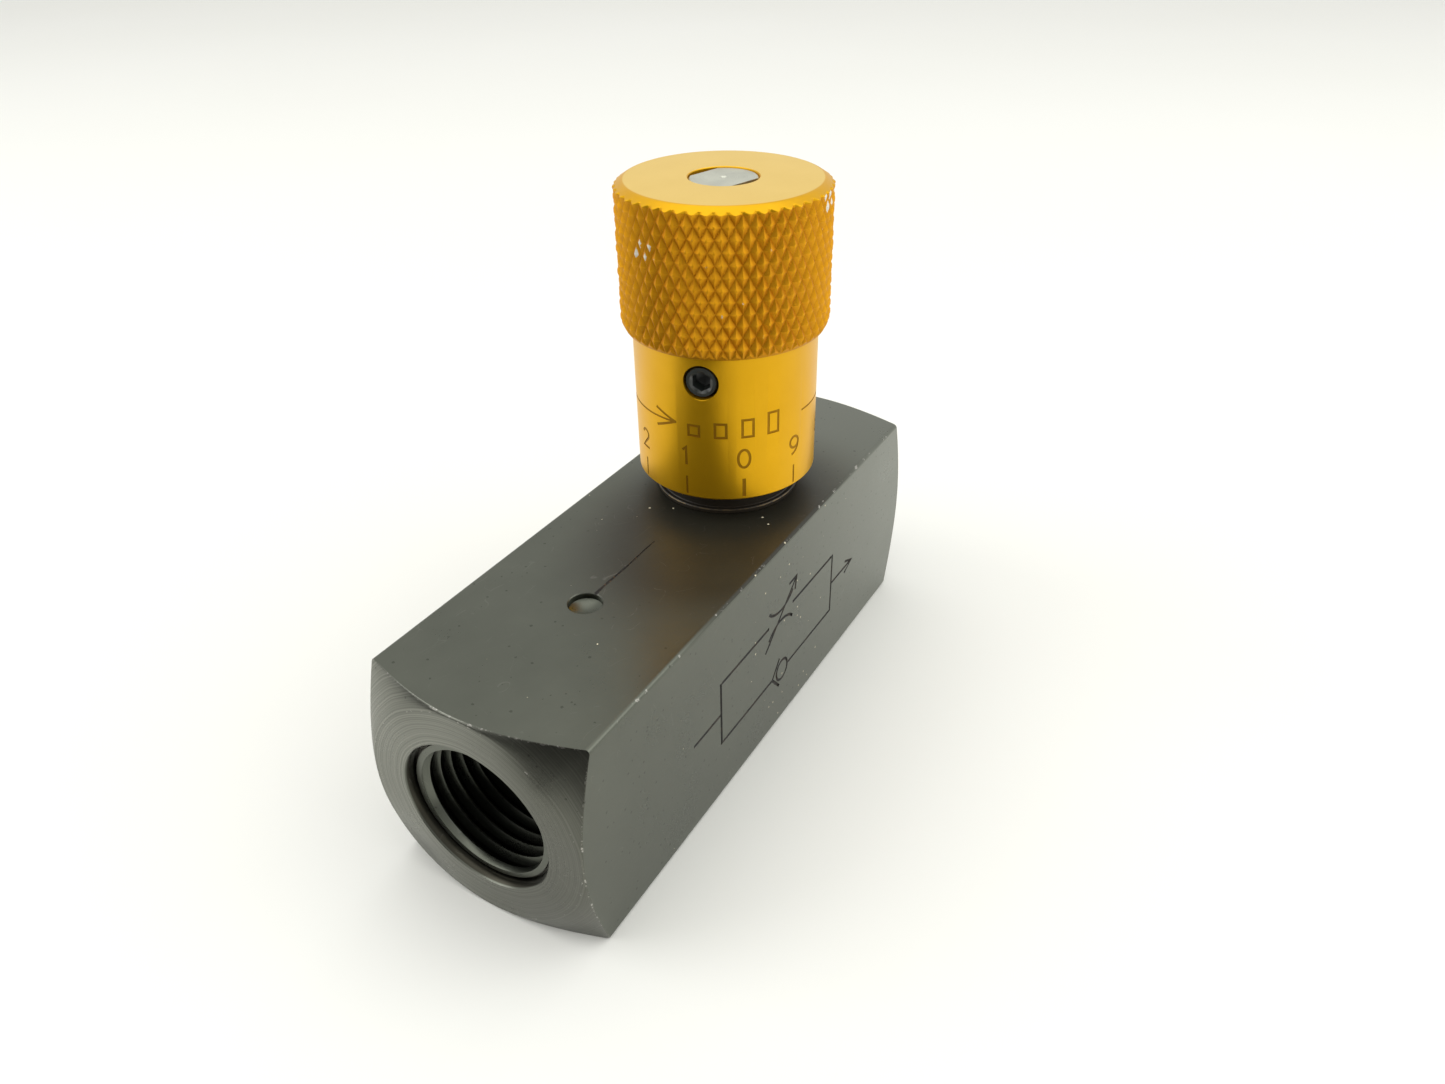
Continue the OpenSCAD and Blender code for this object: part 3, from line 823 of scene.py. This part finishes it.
BLOCK_OXIDE = block_oxide()
SCRIBED_LINE = scribed_line()
GOLD = gold_anodise()
DIAL_ETCH = dial_etch()
NECK_OXIDE = neck_oxide()
STEM_STEEL = turned_metal("stem_steel", (0.50, 0.51, 0.45), (0.66, 0.67, 0.58), 0.30, KNOB_FOOT, KNOB_AXIS)
SCREW_OXIDE = turned_metal("screw_oxide", (0.012, 0.015, 0.013), (0.026, 0.031, 0.028), 0.30,
                           SCREW_CENTRE, SCREW_AXIS, metallic=0.0, ior=1.8)
POPPET_STEEL = turned_metal("poppet_steel", (0.38, 0.38, 0.37), (0.58, 0.58, 0.56), 0.16,
                            PORT_CENTRE, PORT_AXIS, spacing=0.07, bump=0.002)
RETAINER_STEEL = turned_metal("retainer_steel", (0.30, 0.30, 0.29), (0.48, 0.48, 0.46), 0.3,
                              PORT_CENTRE, PORT_AXIS, spacing=0.15)
RING_STEEL = turned_metal("ring_steel", (0.05, 0.05, 0.052), (0.11, 0.11, 0.11), 0.3,
                          PORT_CENTRE, PORT_AXIS, spacing=0.3)
SPRING_WIRE = turned_metal("spring_wire", (0.20, 0.20, 0.21), (0.38, 0.38, 0.39), 0.2,
                           PORT_CENTRE, PORT_AXIS, spacing=0.2, bump=0.002)
PELLET_BRASS = turned_metal("pellet_brass", (0.50, 0.34, 0.11), (0.68, 0.48, 0.18), 0.22,
                            SCREW_CENTRE, SCREW_AXIS)
NITRILE = moulded("nitrile", (0.010, 0.010, 0.010), (0.022, 0.022, 0.021), 0.48, 3.0, 0.15, 0.01)
FLUOROPOLYMER = moulded("fluoropolymer", (0.72, 0.70, 0.64), (0.82, 0.80, 0.74), 0.38, 4.0, 0.2, 0.006,
                        subsurface=0.2)


# ---- Block ----------------------------------------------------------------------------------------------
def block_directions():
    """Directions round the ports' axis that fall evenly on the flats and on the round edges."""
    centre = HALF_W - EDGE_R
    flat_end = math.atan(centre / HALF_W)
    bend = np.linspace(0, math.pi / 2, 8)[1:-1]
    edge = np.arctan2(centre + EDGE_R * np.sin(bend), centre + EDGE_R * np.cos(bend))
    quarter = np.concatenate([np.linspace(-flat_end, flat_end, 43), edge])
    whole = np.concatenate([quarter + side * math.pi / 2 for side in range(4)])
    return np.append(whole, whole[0] + FULL_TURN)


def block_reach(angles):
    """Distance from the ports' axis to the round-edged square outline."""
    folded = np.abs((angles + math.pi / 4) % (math.pi / 2) - math.pi / 4)
    centre = HALF_W - EDGE_R
    along = centre * (np.cos(folded) + np.sin(folded))
    on_edge = along + np.sqrt(np.maximum(along ** 2 - 2 * centre ** 2 + EDGE_R ** 2, 0))
    on_flat = HALF_W * np.tan(folded) <= centre
    return np.where(on_flat, HALF_W / np.cos(folded), on_edge)


def block_rings(angles):
    """The block's outline: in through the near port, out through the far one, and back over the outside."""
    reach = block_reach(angles)
    ledge = HALF_L - MOUTH_DEPTH
    thread_end = HALF_L - THREAD_END
    port_end = HALF_L - PORT_DEPTH
    shrink = PIPE_TAPER * (THREAD_END - MOUTH_DEPTH)
    groove_from, groove_to, groove_r = RING_GROOVE
    wall_r, wall_depth = MOUTH_WALL
    lip_r, groove_depth = MOUTH_GROOVE
    mouth = [(MOUTH_R + BURR, HALF_L), (MOUTH_R, HALF_L - BURR), (wall_r, HALF_L - wall_depth),
             (wall_r - 0.02, HALF_L - groove_depth), (lip_r, HALF_L - groove_depth), (lip_r - 0.06, ledge)]
    near = [(radius, -x) for radius, x in mouth]
    near += thread_rings(-ledge, -thread_end, THREAD_CREST_R, THREAD_CREST_R + THREAD_DEPTH, PIPE_PITCH,
                         angles, taper=-PIPE_TAPER, lead_in=0.8)
    near += [(THREAD_CREST_R - shrink, -port_end), (CHAMBER_R, -port_end), (CHAMBER_R, groove_from),
             (groove_r, groove_from), (groove_r, groove_to), (CHAMBER_R, groove_to),
             (CHAMBER_R, SEAT_X), (PASSAGE_R + 0.05, SEAT_X), (PASSAGE_R, SEAT_X + 0.05)]
    far = [(PASSAGE_R, port_end), (THREAD_CREST_R - shrink, port_end), (THREAD_CREST_R - shrink, thread_end)]
    far += thread_rings(thread_end, ledge, THREAD_CREST_R - shrink, THREAD_CREST_R - shrink + THREAD_DEPTH,
                        PIPE_PITCH, angles, taper=PIPE_TAPER, lead_out=0.8)
    far += mouth[::-1]
    broken = reach - BURR
    cone = HALF_L - (broken - END_DISC_R) * END_SLOPE
    outside = [(END_DISC_R, HALF_L), (broken, cone), (reach, cone - BURR), (reach, BURR - cone),
               (broken, -cone), (END_DISC_R, -HALF_L)]
    return near + far + outside


def bonnet_hole_cutter():
    """The needle's orifice and chamber, the bonnet's thread and its face seal's groove."""
    orifice_r, orifice_top = 3.2, 21.2
    chamber_r, chamber_top = 6.5, 25.2
    thread_r = BONNET_THREAD[0] + THREAD_PLAY
    recess_r = 10.2
    above = TOP_Z + 1
    profile = [(0, PORT_Z), (orifice_r, PORT_Z), (orifice_r, orifice_top), (chamber_r, orifice_top),
               (chamber_r, chamber_top), (thread_r, chamber_top), (thread_r, SEAL_FACE_Z),
               (recess_r, SEAL_FACE_Z), (recess_r, TOP_Z - 0.2), (recess_r + 0.2, TOP_Z),
               (recess_r + 0.2, above), (0, above)]
    return turned("bonnet_hole", profile, about_knob, full_circle(96), closed=False)


def bypass_cutter():
    """Three drillings from the check chamber round to the metered side."""
    sides = 32
    angles = full_circle(sides)[:-1]
    faces = [(i, (i + 1) % sides, sides + (i + 1) % sides, sides + i) for i in range(sides)]
    faces += [tuple(range(sides - 1, -1, -1)), tuple(range(sides, 2 * sides))]
    parts = []
    for tilt in np.radians((-35, 0, 35)):
        y = BYPASS_OFFSET * math.sin(tilt) + BYPASS_R * np.cos(angles)
        z = PORT_Z + BYPASS_OFFSET * math.cos(tilt) + BYPASS_R * np.sin(angles)
        ends = [np.column_stack([np.full(sides, x), y, z]) for x in (SEAT_X - 1, BYPASS_END_X)]
        parts.append((np.concatenate(ends), faces))
    return joined("bypass", parts)


def dimple_cutter():
    """Drilled index dimple with its cone."""
    mouth_r = DIMPLE_R + 0.2
    profile = [(0, TOP_Z - 1.8), (DIMPLE_R, TOP_Z - 0.9), (DIMPLE_R, TOP_Z - 0.12), (mouth_r, TOP_Z + 0.08),
               (mouth_r, TOP_Z + 1), (0, TOP_Z + 1)]
    return turned("dimple", profile, about_dimple, full_circle(64), closed=False)


def index_cutter():
    """Scribed index line, a little unsteady along its length."""
    steps = np.linspace(0, 1, 25)
    path = [(INDEX_FROM + (INDEX_TO - INDEX_FROM) * t, 0.05 * math.sin(9 * t)) for t in steps]
    wide = (0.62 - 0.40 * steps + 0.08 * np.sin(31 * steps))[:, None]
    line = joined("index_line", [ribbon(path, (wide, 0.4 * wide), (0.1, -0.16), above_top_face)])
    line.data.materials.append(SCRIBED_LINE)
    return line


def arc(x, y, wide, tall, start, end, steps):
    """Points along an arc of an ellipse; the angles are in degrees."""
    turns = np.radians(np.linspace(start, end, steps + 1))
    return [(x + wide * math.cos(t), y + tall * math.sin(t)) for t in turns]


def side_symbol_strokes():
    """Strokes of a throttle with a free-flow check beside it, as drawn in fluid power plans: two branches
    in a frame, arcs and a slanted arrow on the upper one, a ball in its seat on the lower one."""
    left, right, high, low = -15.0, 19.0, 20.0, 9.6
    middle = (left + right) / 2
    loops = [arc(middle + 0.6, low, 1.7, 1.7, 0, 360, 32)[:-1]]
    first = [
        [(left - 7, 14.8), (left, 14.8)], [(right, 14.8), (right + 7, 14.8)],
        [(left + 0.3, high), (middle - 3.6, high)], [(middle + 3.6, high), (right - 0.3, high)],
        [(left + 0.3, low), (middle - 2.4, low)], [(middle + 2.6, low), (right - 0.3, low)],
        arc(middle, high + 4.4, 4.4, 3.5, 215, 325, 16), arc(middle, high - 4.4, 4.4, 3.5, 35, 145, 16),
    ]
    second = [
        [(left, high + 0.2), (left, low - 0.2)], [(right, high + 0.2), (right, low - 0.2)],
        [(middle - 4.6, high - 3.9), (middle + 4.4, high + 3.7)],
        [(right + 5.0, 15.9), (right + 7.6, 14.8), (right + 5.0, 13.7)],
        [(middle - 0.2, low + 2.6), (middle - 2.4, low), (middle - 0.2, low - 2.6)],
    ]
    third = [[(middle + 2.4, high + 3.9), (middle + 4.7, high + 4.0), (middle + 4.3, high + 1.8)]]
    return loops, [first, second, third]


def side_symbol_cutters():
    """Stamped V strokes on the block's front side. Strokes that cross are cut one after the other."""
    widths = (0.54, 0.2)
    levels = (0.05, -0.2)
    loops, layers = side_symbol_strokes()
    cutters = []
    for number, layer in enumerate(layers):
        parts = [ribbon(path, widths, levels, before_front_face) for path in layer]
        if number == 0:
            parts += [ribbon(path, widths, levels, before_front_face, closed=True) for path in loops]
        cutter = joined("side_symbol", parts)
        cutter.data.materials.append(SCRIBED_LINE)
        cutters.append(cutter)
    return cutters


def make_block():
    """The square block with its ports, drillings, index mark and stamped side."""
    angles = block_directions()
    block = turned("block", block_rings(angles), about_ports, angles)
    block.data.materials.append(BLOCK_OXIDE)
    cut(block, [bonnet_hole_cutter(), bypass_cutter(), dimple_cutter()])
    cut(block, [index_cutter(), *side_symbol_cutters()])
    smooth(block)
    fit(block, "housing", "body_finish", "valve_body")


# ---- Bonnet ---------------------------------------------------------------------------------------------
def make_gland_nut():
    """The bonnet: outer thread, flange, neck with a scale ring to each turn, and the stem's thread inside."""
    angles = full_circle(144)
    crest, root, pitch = BONNET_THREAD
    low = bonnet_low.z
    neck_top = bonnet_high.z
    seal_r = 8.2
    flange_low = TOP_Z + 0.02
    flange_top = TOP_Z + 0.7
    ring_r = NECK_R - 0.12
    outside = [(9.0, low)]
    outside += thread_rings(low + 0.1, SEAL_FACE_Z - 0.6, root, crest, pitch, angles, lead_in=0.7)
    outside += [(seal_r, SEAL_FACE_Z), (seal_r, flange_low), (FLANGE_R - 0.1, flange_low),
                (FLANGE_R, TOP_Z + 0.12), (FLANGE_R, TOP_Z + 0.55), (FLANGE_R - 0.15, flange_top),
                (NECK_R + 0.1, flange_top), (NECK_R, TOP_Z + 0.8)]
    for count in range(1, 7):
        z = TOP_Z + 0.7 + count * STEM_LEAD
        outside += [(NECK_R, z - 0.02), (ring_r, z + 0.05), (ring_r, z + 0.25), (NECK_R, z + 0.32)]
    outside += [(NECK_R, neck_top - 0.8), (NECK_R - 0.8, neck_top)]
    thread = thread_rings(LAND_TOP + 0.3, neck_top, STEM_ROOT_R + THREAD_PLAY, STEM_CREST_R + THREAD_PLAY,
                          STEM_LEAD, angles, lead_in=0.3, lead_out=0)
    inside = thread[::-1] + [(LAND_BORE_R, LAND_TOP), (LAND_BORE_R, low + 0.3), (LAND_BORE_R + 0.4, low)]
    nut = turned("gland_nut", outside + inside, about_knob, angles)
    nut.data.materials.append(NECK_OXIDE)
    smooth(nut)
    fit(nut, "housing", "bonnet_finish", "bonnet")


# ---- Stem -----------------------------------------------------------------------------------------------
def make_metering_stem():
    """The stem: needle, land with its seal's gland, thread, and shank with two flats."""
    angles = full_circle(144)
    low, top = stem_low.z, stem_high.z
    land_low = low + 10.8
    land_top = land_low + 5.3
    gland_low = land_low + 0.9
    gland_high = gland_low + 3.3
    shoulder = low + 31.4
    tip_r = 1.26
    needle_r = 3.81
    land_r = 6.25
    gland_r = 4.55
    rings = [(0, low), (1.1, low), (tip_r, low + 0.15), (3.7, low + 8.3), (needle_r, low + 8.6),
             (needle_r, land_low - 0.3), (4.1, land_low), (6.1, land_low), (land_r, land_low + 0.15),
             (land_r, gland_low), (4.65, gland_low), (gland_r, gland_low + 0.1), (gland_r, gland_high - 0.1),
             (4.65, gland_high), (land_r, gland_high), (land_r, land_top - 0.15), (6.1, land_top),
             (STEM_ROOT_R, land_top)]
    rings += thread_rings(land_top + 0.3, shoulder, STEM_ROOT_R, STEM_CREST_R, STEM_LEAD, angles)
    rings += [(SHANK_R, shoulder + 0.01), (SHANK_R, top - 0.25), (SHANK_R - 0.25, top), (0.55, top),
              (0, top - 0.5)]
    stem = turned("metering_stem", rings, about_knob, angles, closed=False)
    stem.data.materials.append(STEM_STEEL)
    cut(stem, flat_cutters(top))
    smooth(stem)
    fit(stem, "knob_and_stem", "stem_steel", "needle_stem")


def flat_cutters(top):
    """Two blocks that cut the driving flats on the stem's end."""
    cutters = []
    for side in (1, -1):
        out = np.array([math.cos(FLAT_FACING), math.sin(FLAT_FACING), 0]) * side
        along = np.array([-out[1], out[0], 0])
        corners = []
        for reach in (FLAT_REACH, 6.0):
            for span in (-6.0, 6.0):
                for z in (top - FLAT_TALL, top + 1.0):
                    corners.append(np.array([KNOB_X, 0, z]) + out * reach + along * span)
        faces = [(0, 1, 3, 2), (4, 6, 7, 5), (0, 4, 5, 1), (2, 3, 7, 6), (0, 2, 6, 4), (1, 5, 7, 3)]
        cutters.append(build("flat", corners, faces))
    return cutters


# ---- Knob -----------------------------------------------------------------------------------------------
def knurl_radius(height, angles):
    """Radius of the diamond knurl, cut back by the chamfers at its two ends."""
    across = (angles - KNURL_PHASE) * KNURL_STARTS / FULL_TURN
    along = (height - KNURL_LEVEL) / KNURL_TALL
    one_way = np.abs((across + along + 0.5) % 1 - 0.5)
    other_way = np.abs((across - along + 0.5) % 1 - 0.5)
    rise = np.minimum(np.minimum(one_way, other_way), 5 / KNURL_CUTS) * KNURL_CUTS / 5
    column = np.floor(across + along + 0.001) % KNURL_STARTS
    row = np.floor(across + along + 0.001) - np.floor(across - along + 0.001)
    uneven = 1 - KNURL_TEAR * (np.sin(12.9898 * column + 78.233 * row) * 43758.5453 % 1) ** 2
    tooth = GRIP_R - KNURL_DEPTH + KNURL_DEPTH * rise * uneven
    low = GRIP_R - GRIP_LOW_CHAMFER / 2 + (height - GRIP_Z) / 2
    slope = (GRIP_R - KNOB_FACE_R) / GRIP_TOP_CHAMFER
    top = KNOB_FACE_R + (KNOB_TOP_Z - height) * slope
    return np.minimum(tooth, np.minimum(low, top))


def knurl_levels():
    """Heights of the knurl's mesh rings: one to each column's rise, and four where a chamfer cuts it."""
    rise = KNURL_TALL / KNURL_CUTS
    first = math.ceil((GRIP_Z - KNURL_LEVEL) / rise)
    last = math.floor((KNOB_TOP_Z - KNURL_LEVEL) / rise)
    levels = []
    for count in range(first, last):
        base = KNURL_LEVEL + count * rise
        chamfered = base < GRIP_Z + GRIP_LOW_CHAMFER or base > KNOB_TOP_Z - GRIP_TOP_CHAMFER - 2 * rise
        levels += [base + rise * part / 4 for part in range(4)] if chamfered else [base]
    return [z for z in levels if GRIP_Z + 0.03 < z < KNOB_TOP_Z - 0.12]


def make_knob():
    """The dial knob: plain skirt, knurled grip and turned face round a cavity and the stem's bore."""
    angles = full_circle(KNURL_STARTS * KNURL_CUTS, KNURL_PHASE)
    levels = knurl_levels()
    below = [(CAVITY_R + 0.25, SKIRT_Z), (SKIRT_R - 0.3, SKIRT_Z), (SKIRT_R, SKIRT_Z + 0.3),
             (SKIRT_R, GRIP_Z - 0.2), (SKIRT_R + 0.06, GRIP_Z - 0.06), (SKIRT_R + 0.2, GRIP_Z)]
    grip = [(knurl_radius(z, angles), z) for z in [GRIP_Z, *levels]]
    top = [(KNOB_FACE_R + 0.06, KNOB_TOP_Z - 0.07), (KNOB_FACE_R - 0.1, KNOB_TOP_Z - 0.015),
           (KNOB_FACE_R - 0.3, KNOB_TOP_Z), (SHANK_BORE_R + 0.12, KNOB_TOP_Z),
           (SHANK_BORE_R, KNOB_TOP_Z - 0.12), (SHANK_BORE_R, CAVITY_TOP),
           (CAVITY_R, CAVITY_TOP), (CAVITY_R, SKIRT_Z + 0.25)]

    def split(ring, column, cell):
        """Splits a knurl cell along the valley or the tooth's flat top that crosses it."""
        inside = 0 <= ring - len(below) < len(grip)
        if not inside:
            return [cell]
        level = grip[ring - len(below)][1]
        row = round((level - KNURL_LEVEL) / KNURL_TALL * KNURL_CUTS)
        a, b, c, d = cell
        if (column + row + 1) % KNURL_CUTS in (0, 5, 7):
            return [(a, b, d), (b, c, d)]
        return [(a, b, c), (a, c, d)]

    knob = turned("dial_knob", below + grip + top, about_knob, angles, cell_faces=split)
    knob.data.materials.append(GOLD)
    cut(knob, [screw_hole_cutter(), *dial_cutters()])
    smooth(knob, degrees=24, even=False)
    fit(knob, "knob_and_stem", "knob_anodised", "knob")


def screw_hole_cutter():
    """The lock screw's hole with a small lead at its mouth."""
    start = 3.0
    lead_r = SCREW_HOLE_R + 0.13
    profile = [(0, start), (SCREW_HOLE_R, start), (SCREW_HOLE_R, SKIRT_R - 0.05), (lead_r, SKIRT_R + 0.08),
               (lead_r, SKIRT_R + 0.8), (0, SKIRT_R + 0.8)]
    return turned("screw_hole", profile, about_screw, full_circle(72), closed=False)


# Each digit is one or two strokes about its middle, in millimetres, and the second one may cross the first.
DIGITS = {
    0: [arc(0, 0, 0.82, 1.35, 90, 450, 30)[:-1]],
    1: [[(-0.55, 0.85), (0, 1.35), (0, -1.35)]],
    2: [arc(0, 0.6, 0.78, 0.75, 165, -35, 14) + [(-0.8, -1.35), (0.85, -1.35)]],
    3: [arc(-0.1, 0.67, 0.75, 0.68, 150, -95, 14), arc(-0.1, -0.65, 0.85, 0.71, 95, -150, 16)],
    4: [[(0.3, 1.35), (-0.9, -0.55), (0.95, -0.55)], [(0.42, 1.2), (0.42, -1.35)]],
    5: [[(0.7, 1.35), (-0.55, 1.35), (-0.66, 0.02)], arc(-0.05, -0.48, 0.82, 0.87, 140, -150, 18)],
    6: [arc(0, -0.5, 0.82, 0.85, 0, 360, 26)[:-1], arc(0.75, -0.45, 1.57, 1.8, 100, 176, 12)],
    7: [[(-0.8, 1.35), (0.85, 1.35), (-0.3, -1.35)]],
    8: [arc(0, -0.62, 0.84, 0.73, 0, 360, 26)[:-1], arc(0, 0.72, 0.66, 0.63, 0, 360, 24)[:-1]],
    9: [arc(0, 0.5, 0.82, 0.85, 0, 360, 26)[:-1], arc(-0.75, 0.45, 1.57, 1.8, -80, -4, 12)],
}
LOOP_DIGITS = {0: 1, 6: 1, 8: 2, 9: 1}      # how many of a digit's first strokes are closed


def dial_cutters():
    """Etched strokes round the skirt: ticks, digits, the opening arrow and the bars. Strokes of one layer
    never cross."""
    layers = [[], [], []]

    def stroke(layer, path, facing, base, width, closed=False):
        """Adds a stroke round a direction and a height; the path is in millimetres from there."""
        def on_skirt(along, up, level):
            return about_knob(SKIRT_R + level, base + up, facing + along / SKIRT_R)

        layers[layer].append(ribbon(path, (width, width), (0.1, -0.05), on_skirt, closed))

    for number in range(10):
        facing = DIAL_ZERO - number * DIAL_STEP
        stroke(0, [(0, -1.4), (0, 1.4)], facing, TICK_Z, 0.5 if number == 0 else 0.32)
        for layer, path in enumerate(DIGITS[number]):
            stroke(layer, path, facing, DIGIT_Z, 0.38, closed=layer < LOOP_DIGITS.get(number, 0))
    line_from, line_to = ARROW_LINE
    steps = 96
    span = (line_to - line_from) * SKIRT_R
    stroke(0, [(span * i / steps, 0) for i in range(steps + 1)], line_from, BAND_Z, 0.28)
    # each barb has points all along, so that it keeps to the skirt
    for layer, side in ((1, 1), (2, -1)):
        barb = [(0.12 - 0.43 * i, (0.175 * i - 0.05) * side) for i in range(9)]
        stroke(layer, barb, ARROW_TIP, BAND_Z, 0.36)
    low, half = -1.5, 0.75
    for count in range(4):
        high = low + 1.5 + 0.5 * count
        bar = [(-half, low), (half, low), (half, high), (-half, high)]
        stroke(0, bar, BAR_FIRST + BAR_STEP * count, BAND_Z, 0.36, closed=True)
    cutters = [joined("dial_layer", layer) for layer in layers]
    for cutter in cutters:
        cutter.data.materials.append(DIAL_ETCH)
    return cutters


# ---- Lock screw -----------------------------------------------------------------------------------------
def make_socket_screw():
    """The lock screw: a threaded plug with a hexagon socket."""
    angles = full_circle(72)
    outer = SKIRT_R - 0.3
    inner = outer - SCREW_LONG
    hexagon = SOCKET_REACH / np.cos((angles + math.pi / 6) % (math.pi / 3) - math.pi / 6)
    rings = [(0, inner), (1.7, inner), (1.95, inner + 0.3)]
    rings += thread_rings(inner + 0.4, outer - 0.3, SCREW_ROOT_R, SCREW_CREST_R, SCREW_PITCH, angles,
                          lead_in=0.5, lead_out=0.5)
    rings += [(2.1, outer - 0.28), (2.02, outer), (1.62, outer), (hexagon, outer - 0.22),
              (hexagon, outer - 2.0), (0, outer - 2.5)]
    screw = turned("socket_screw", rings, about_screw, angles, closed=False)
    screw.data.materials.append(SCREW_OXIDE)
    smooth(screw)
    fit(screw, "lock_screw", "screw_black", "knob_lock_screw")


# ---- Check spring ---------------------------------------------------------------------------------------
def make_spring():
    """The check valve's coil, laid between the CAD spring's ends."""
    wire_r = 0.48
    mean_r = 4.1
    turns = 7.5
    per_turn = 40
    sides = 12
    start = spring_low.x + wire_r
    end = spring_high.x - wire_r
    count = int(turns * per_turn)
    share = np.linspace(0, 1, count + 1)
    # closed coils at both ends: the pitch is small there and even between
    climb = np.interp(share * turns, (0, 0.9, turns - 0.9, turns), (0, 0.075, 0.925, 1.0))
    centre = start + (end - start) * climb
    points = []
    for i in range(count + 1):
        turn = share[i] * turns * FULL_TURN
        for k in range(sides):
            side = FULL_TURN * k / sides
            r = mean_r + wire_r * math.cos(side)
            x = centre[i] + wire_r * math.sin(side)
            points.append((x, r * math.cos(turn), PORT_Z + r * math.sin(turn)))
    faces = []
    for i in range(count):
        for k in range(sides):
            a, b = i * sides + k, i * sides + (k + 1) % sides
            faces.append((a, b, b + sides, a + sides))
    faces += [tuple(range(sides)), tuple(range(count * sides, (count + 1) * sides))]
    spring = build("spring_coil", points, faces)
    spring.data.materials.append(SPRING_WIRE)
    smooth(spring, degrees=40, even=False)
    fit(spring, "housing", "spring_steel", "check_spring")
    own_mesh(spring)


# ---- CAD nodes that stay --------------------------------------------------------------------------------
def finish_cad_nodes():
    """Gives each kept CAD piece its finish."""
    finishes = {
        "bonnet_o_ring": NITRILE, "stem_o_ring": NITRILE,
        "stem_backup_ring_lower": FLUOROPOLYMER, "stem_backup_ring_upper": FLUOROPOLYMER,
        "check_poppet": POPPET_STEEL, "spring_retainer": RETAINER_STEEL, "retaining_ring": RING_STEEL,
        "lock_pellet": PELLET_BRASS,
    }
    for name, material in finishes.items():
        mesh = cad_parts[name].data
        mesh.materials.clear()
        mesh.materials.append(material)


# ---- Stage, light and camera ----------------------------------------------------------------------------
def make_floor():
    """A wide pale floor just under the block."""
    half = 2500.0
    corners = [(-half, -half, 0), (half, -half, 0), (half, half, 0), (-half, half, 0)]
    floor = build("floor", corners, [(0, 1, 2, 3)])
    material, wires, shader, place = new_material("floor_paper")
    tint = wires.noise(place, 0.004, detail=2)
    pale = wires.mix(tint, (0.87, 0.87, 0.835), (0.90, 0.90, 0.88))
    # the room is dark on the near port's side, which shows only in what mirrors it
    mirrored = wires.node("ShaderNodeLightPath").outputs["Is Glossy Ray"]
    unlit = wires.times(mirrored, wires.step(wires.parts(place)["X"], -140.0, -75.0, 1.0, 0.0))
    wires.fill(shader.inputs, Base_Color=wires.mix(unlit, pale, (0.03, 0.03, 0.026)), Roughness=0.7)
    floor.data.materials.append(material)
    floor.location.z = -0.02 * MM


def make_world():
    """Even pale light all round. Low down on its open side the studio is dark, except to the camera."""
    world = bpy.data.worlds.new("studio")
    bpy.context.scene.world = world
    world.use_nodes = True
    wires = Wiring(world.node_tree)
    background = world.node_tree.nodes["Background"]
    direction = wires.node("ShaderNodeTexCoord").outputs["Generated"]
    opening = Vector((-0.93, -0.25, 0.04)).normalized()
    closeness = wires.vector("DOT_PRODUCT", wires.vector("NORMALIZE", direction), tuple(opening))
    seen = wires.node("ShaderNodeLightPath").outputs["Is Camera Ray"]
    dimmed = wires.times(wires.step(closeness, 0.72, 0.96), wires.minus(1.0, seen))
    colour = wires.mix(dimmed, (1.0, 1.0, 0.965), (0.04, 0.04, 0.036))
    wires.fill(background.inputs, Color=colour, Strength=0.82)


def make_area_light(name, location, target, size, watts, colour):
    """A round soft light that faces its target; lengths are in metres."""
    light = bpy.data.lights.new(name, "AREA")
    light.shape = "DISK"
    light.size = size
    light.energy = watts
    light.color = colour
    holder = bpy.data.objects.new(name, light)
    bpy.context.scene.collection.objects.link(holder)
    holder.location = location
    holder.rotation_euler = (Vector(target) - Vector(location)).to_track_quat("-Z", "Y").to_euler()


def make_lights():
    """Soft lights over the valve, behind it and in front of it."""
    middle = (0.0, 0.0, 0.03)
    make_area_light("ceiling", (0.0, 0.05, 0.80), middle, 1.0, 1.9, (1.0, 1.0, 0.96))
    make_area_light("window", (-0.40, 0.60, 0.50), middle, 0.6, 1.7, (1.0, 1.0, 1.0))
    make_area_light("fill", (0.25, -0.60, 0.55), middle, 0.8, 1.9, (1.0, 1.0, 0.97))


def make_camera():
    """The camera, above and before the near port."""
    eye = (-0.105833, -0.069904, 0.112819)
    yaw = 0.532
    pitch = -0.588
    roll = -0.015
    lens = bpy.data.cameras.new("camera")
    lens.lens = 26.68
    lens.sensor_width = 36.0
    lens.clip_start = 0.005
    lens.clip_end = 20.0
    camera = bpy.data.objects.new("camera", lens)
    bpy.context.scene.collection.objects.link(camera)
    ahead = Vector((math.cos(pitch) * math.cos(yaw), math.cos(pitch) * math.sin(yaw), math.sin(pitch)))
    level_right = ahead.cross(Vector((0, 0, 1))).normalized()
    level_up = level_right.cross(ahead)
    right = math.cos(roll) * level_right + math.sin(roll) * level_up
    up = math.cos(roll) * level_up - math.sin(roll) * level_right
    turn = Matrix((right, up, -ahead)).transposed()
    camera.matrix_world = Matrix.Translation(eye) @ turn.to_4x4()
    bpy.context.scene.camera = camera


make_camera()
make_world()
make_lights()
make_floor()
make_block()
make_gland_nut()
make_metering_stem()
make_knob()
make_socket_screw()
make_spring()
finish_cad_nodes()
bpy.context.scene.view_settings.view_transform = "Standard"
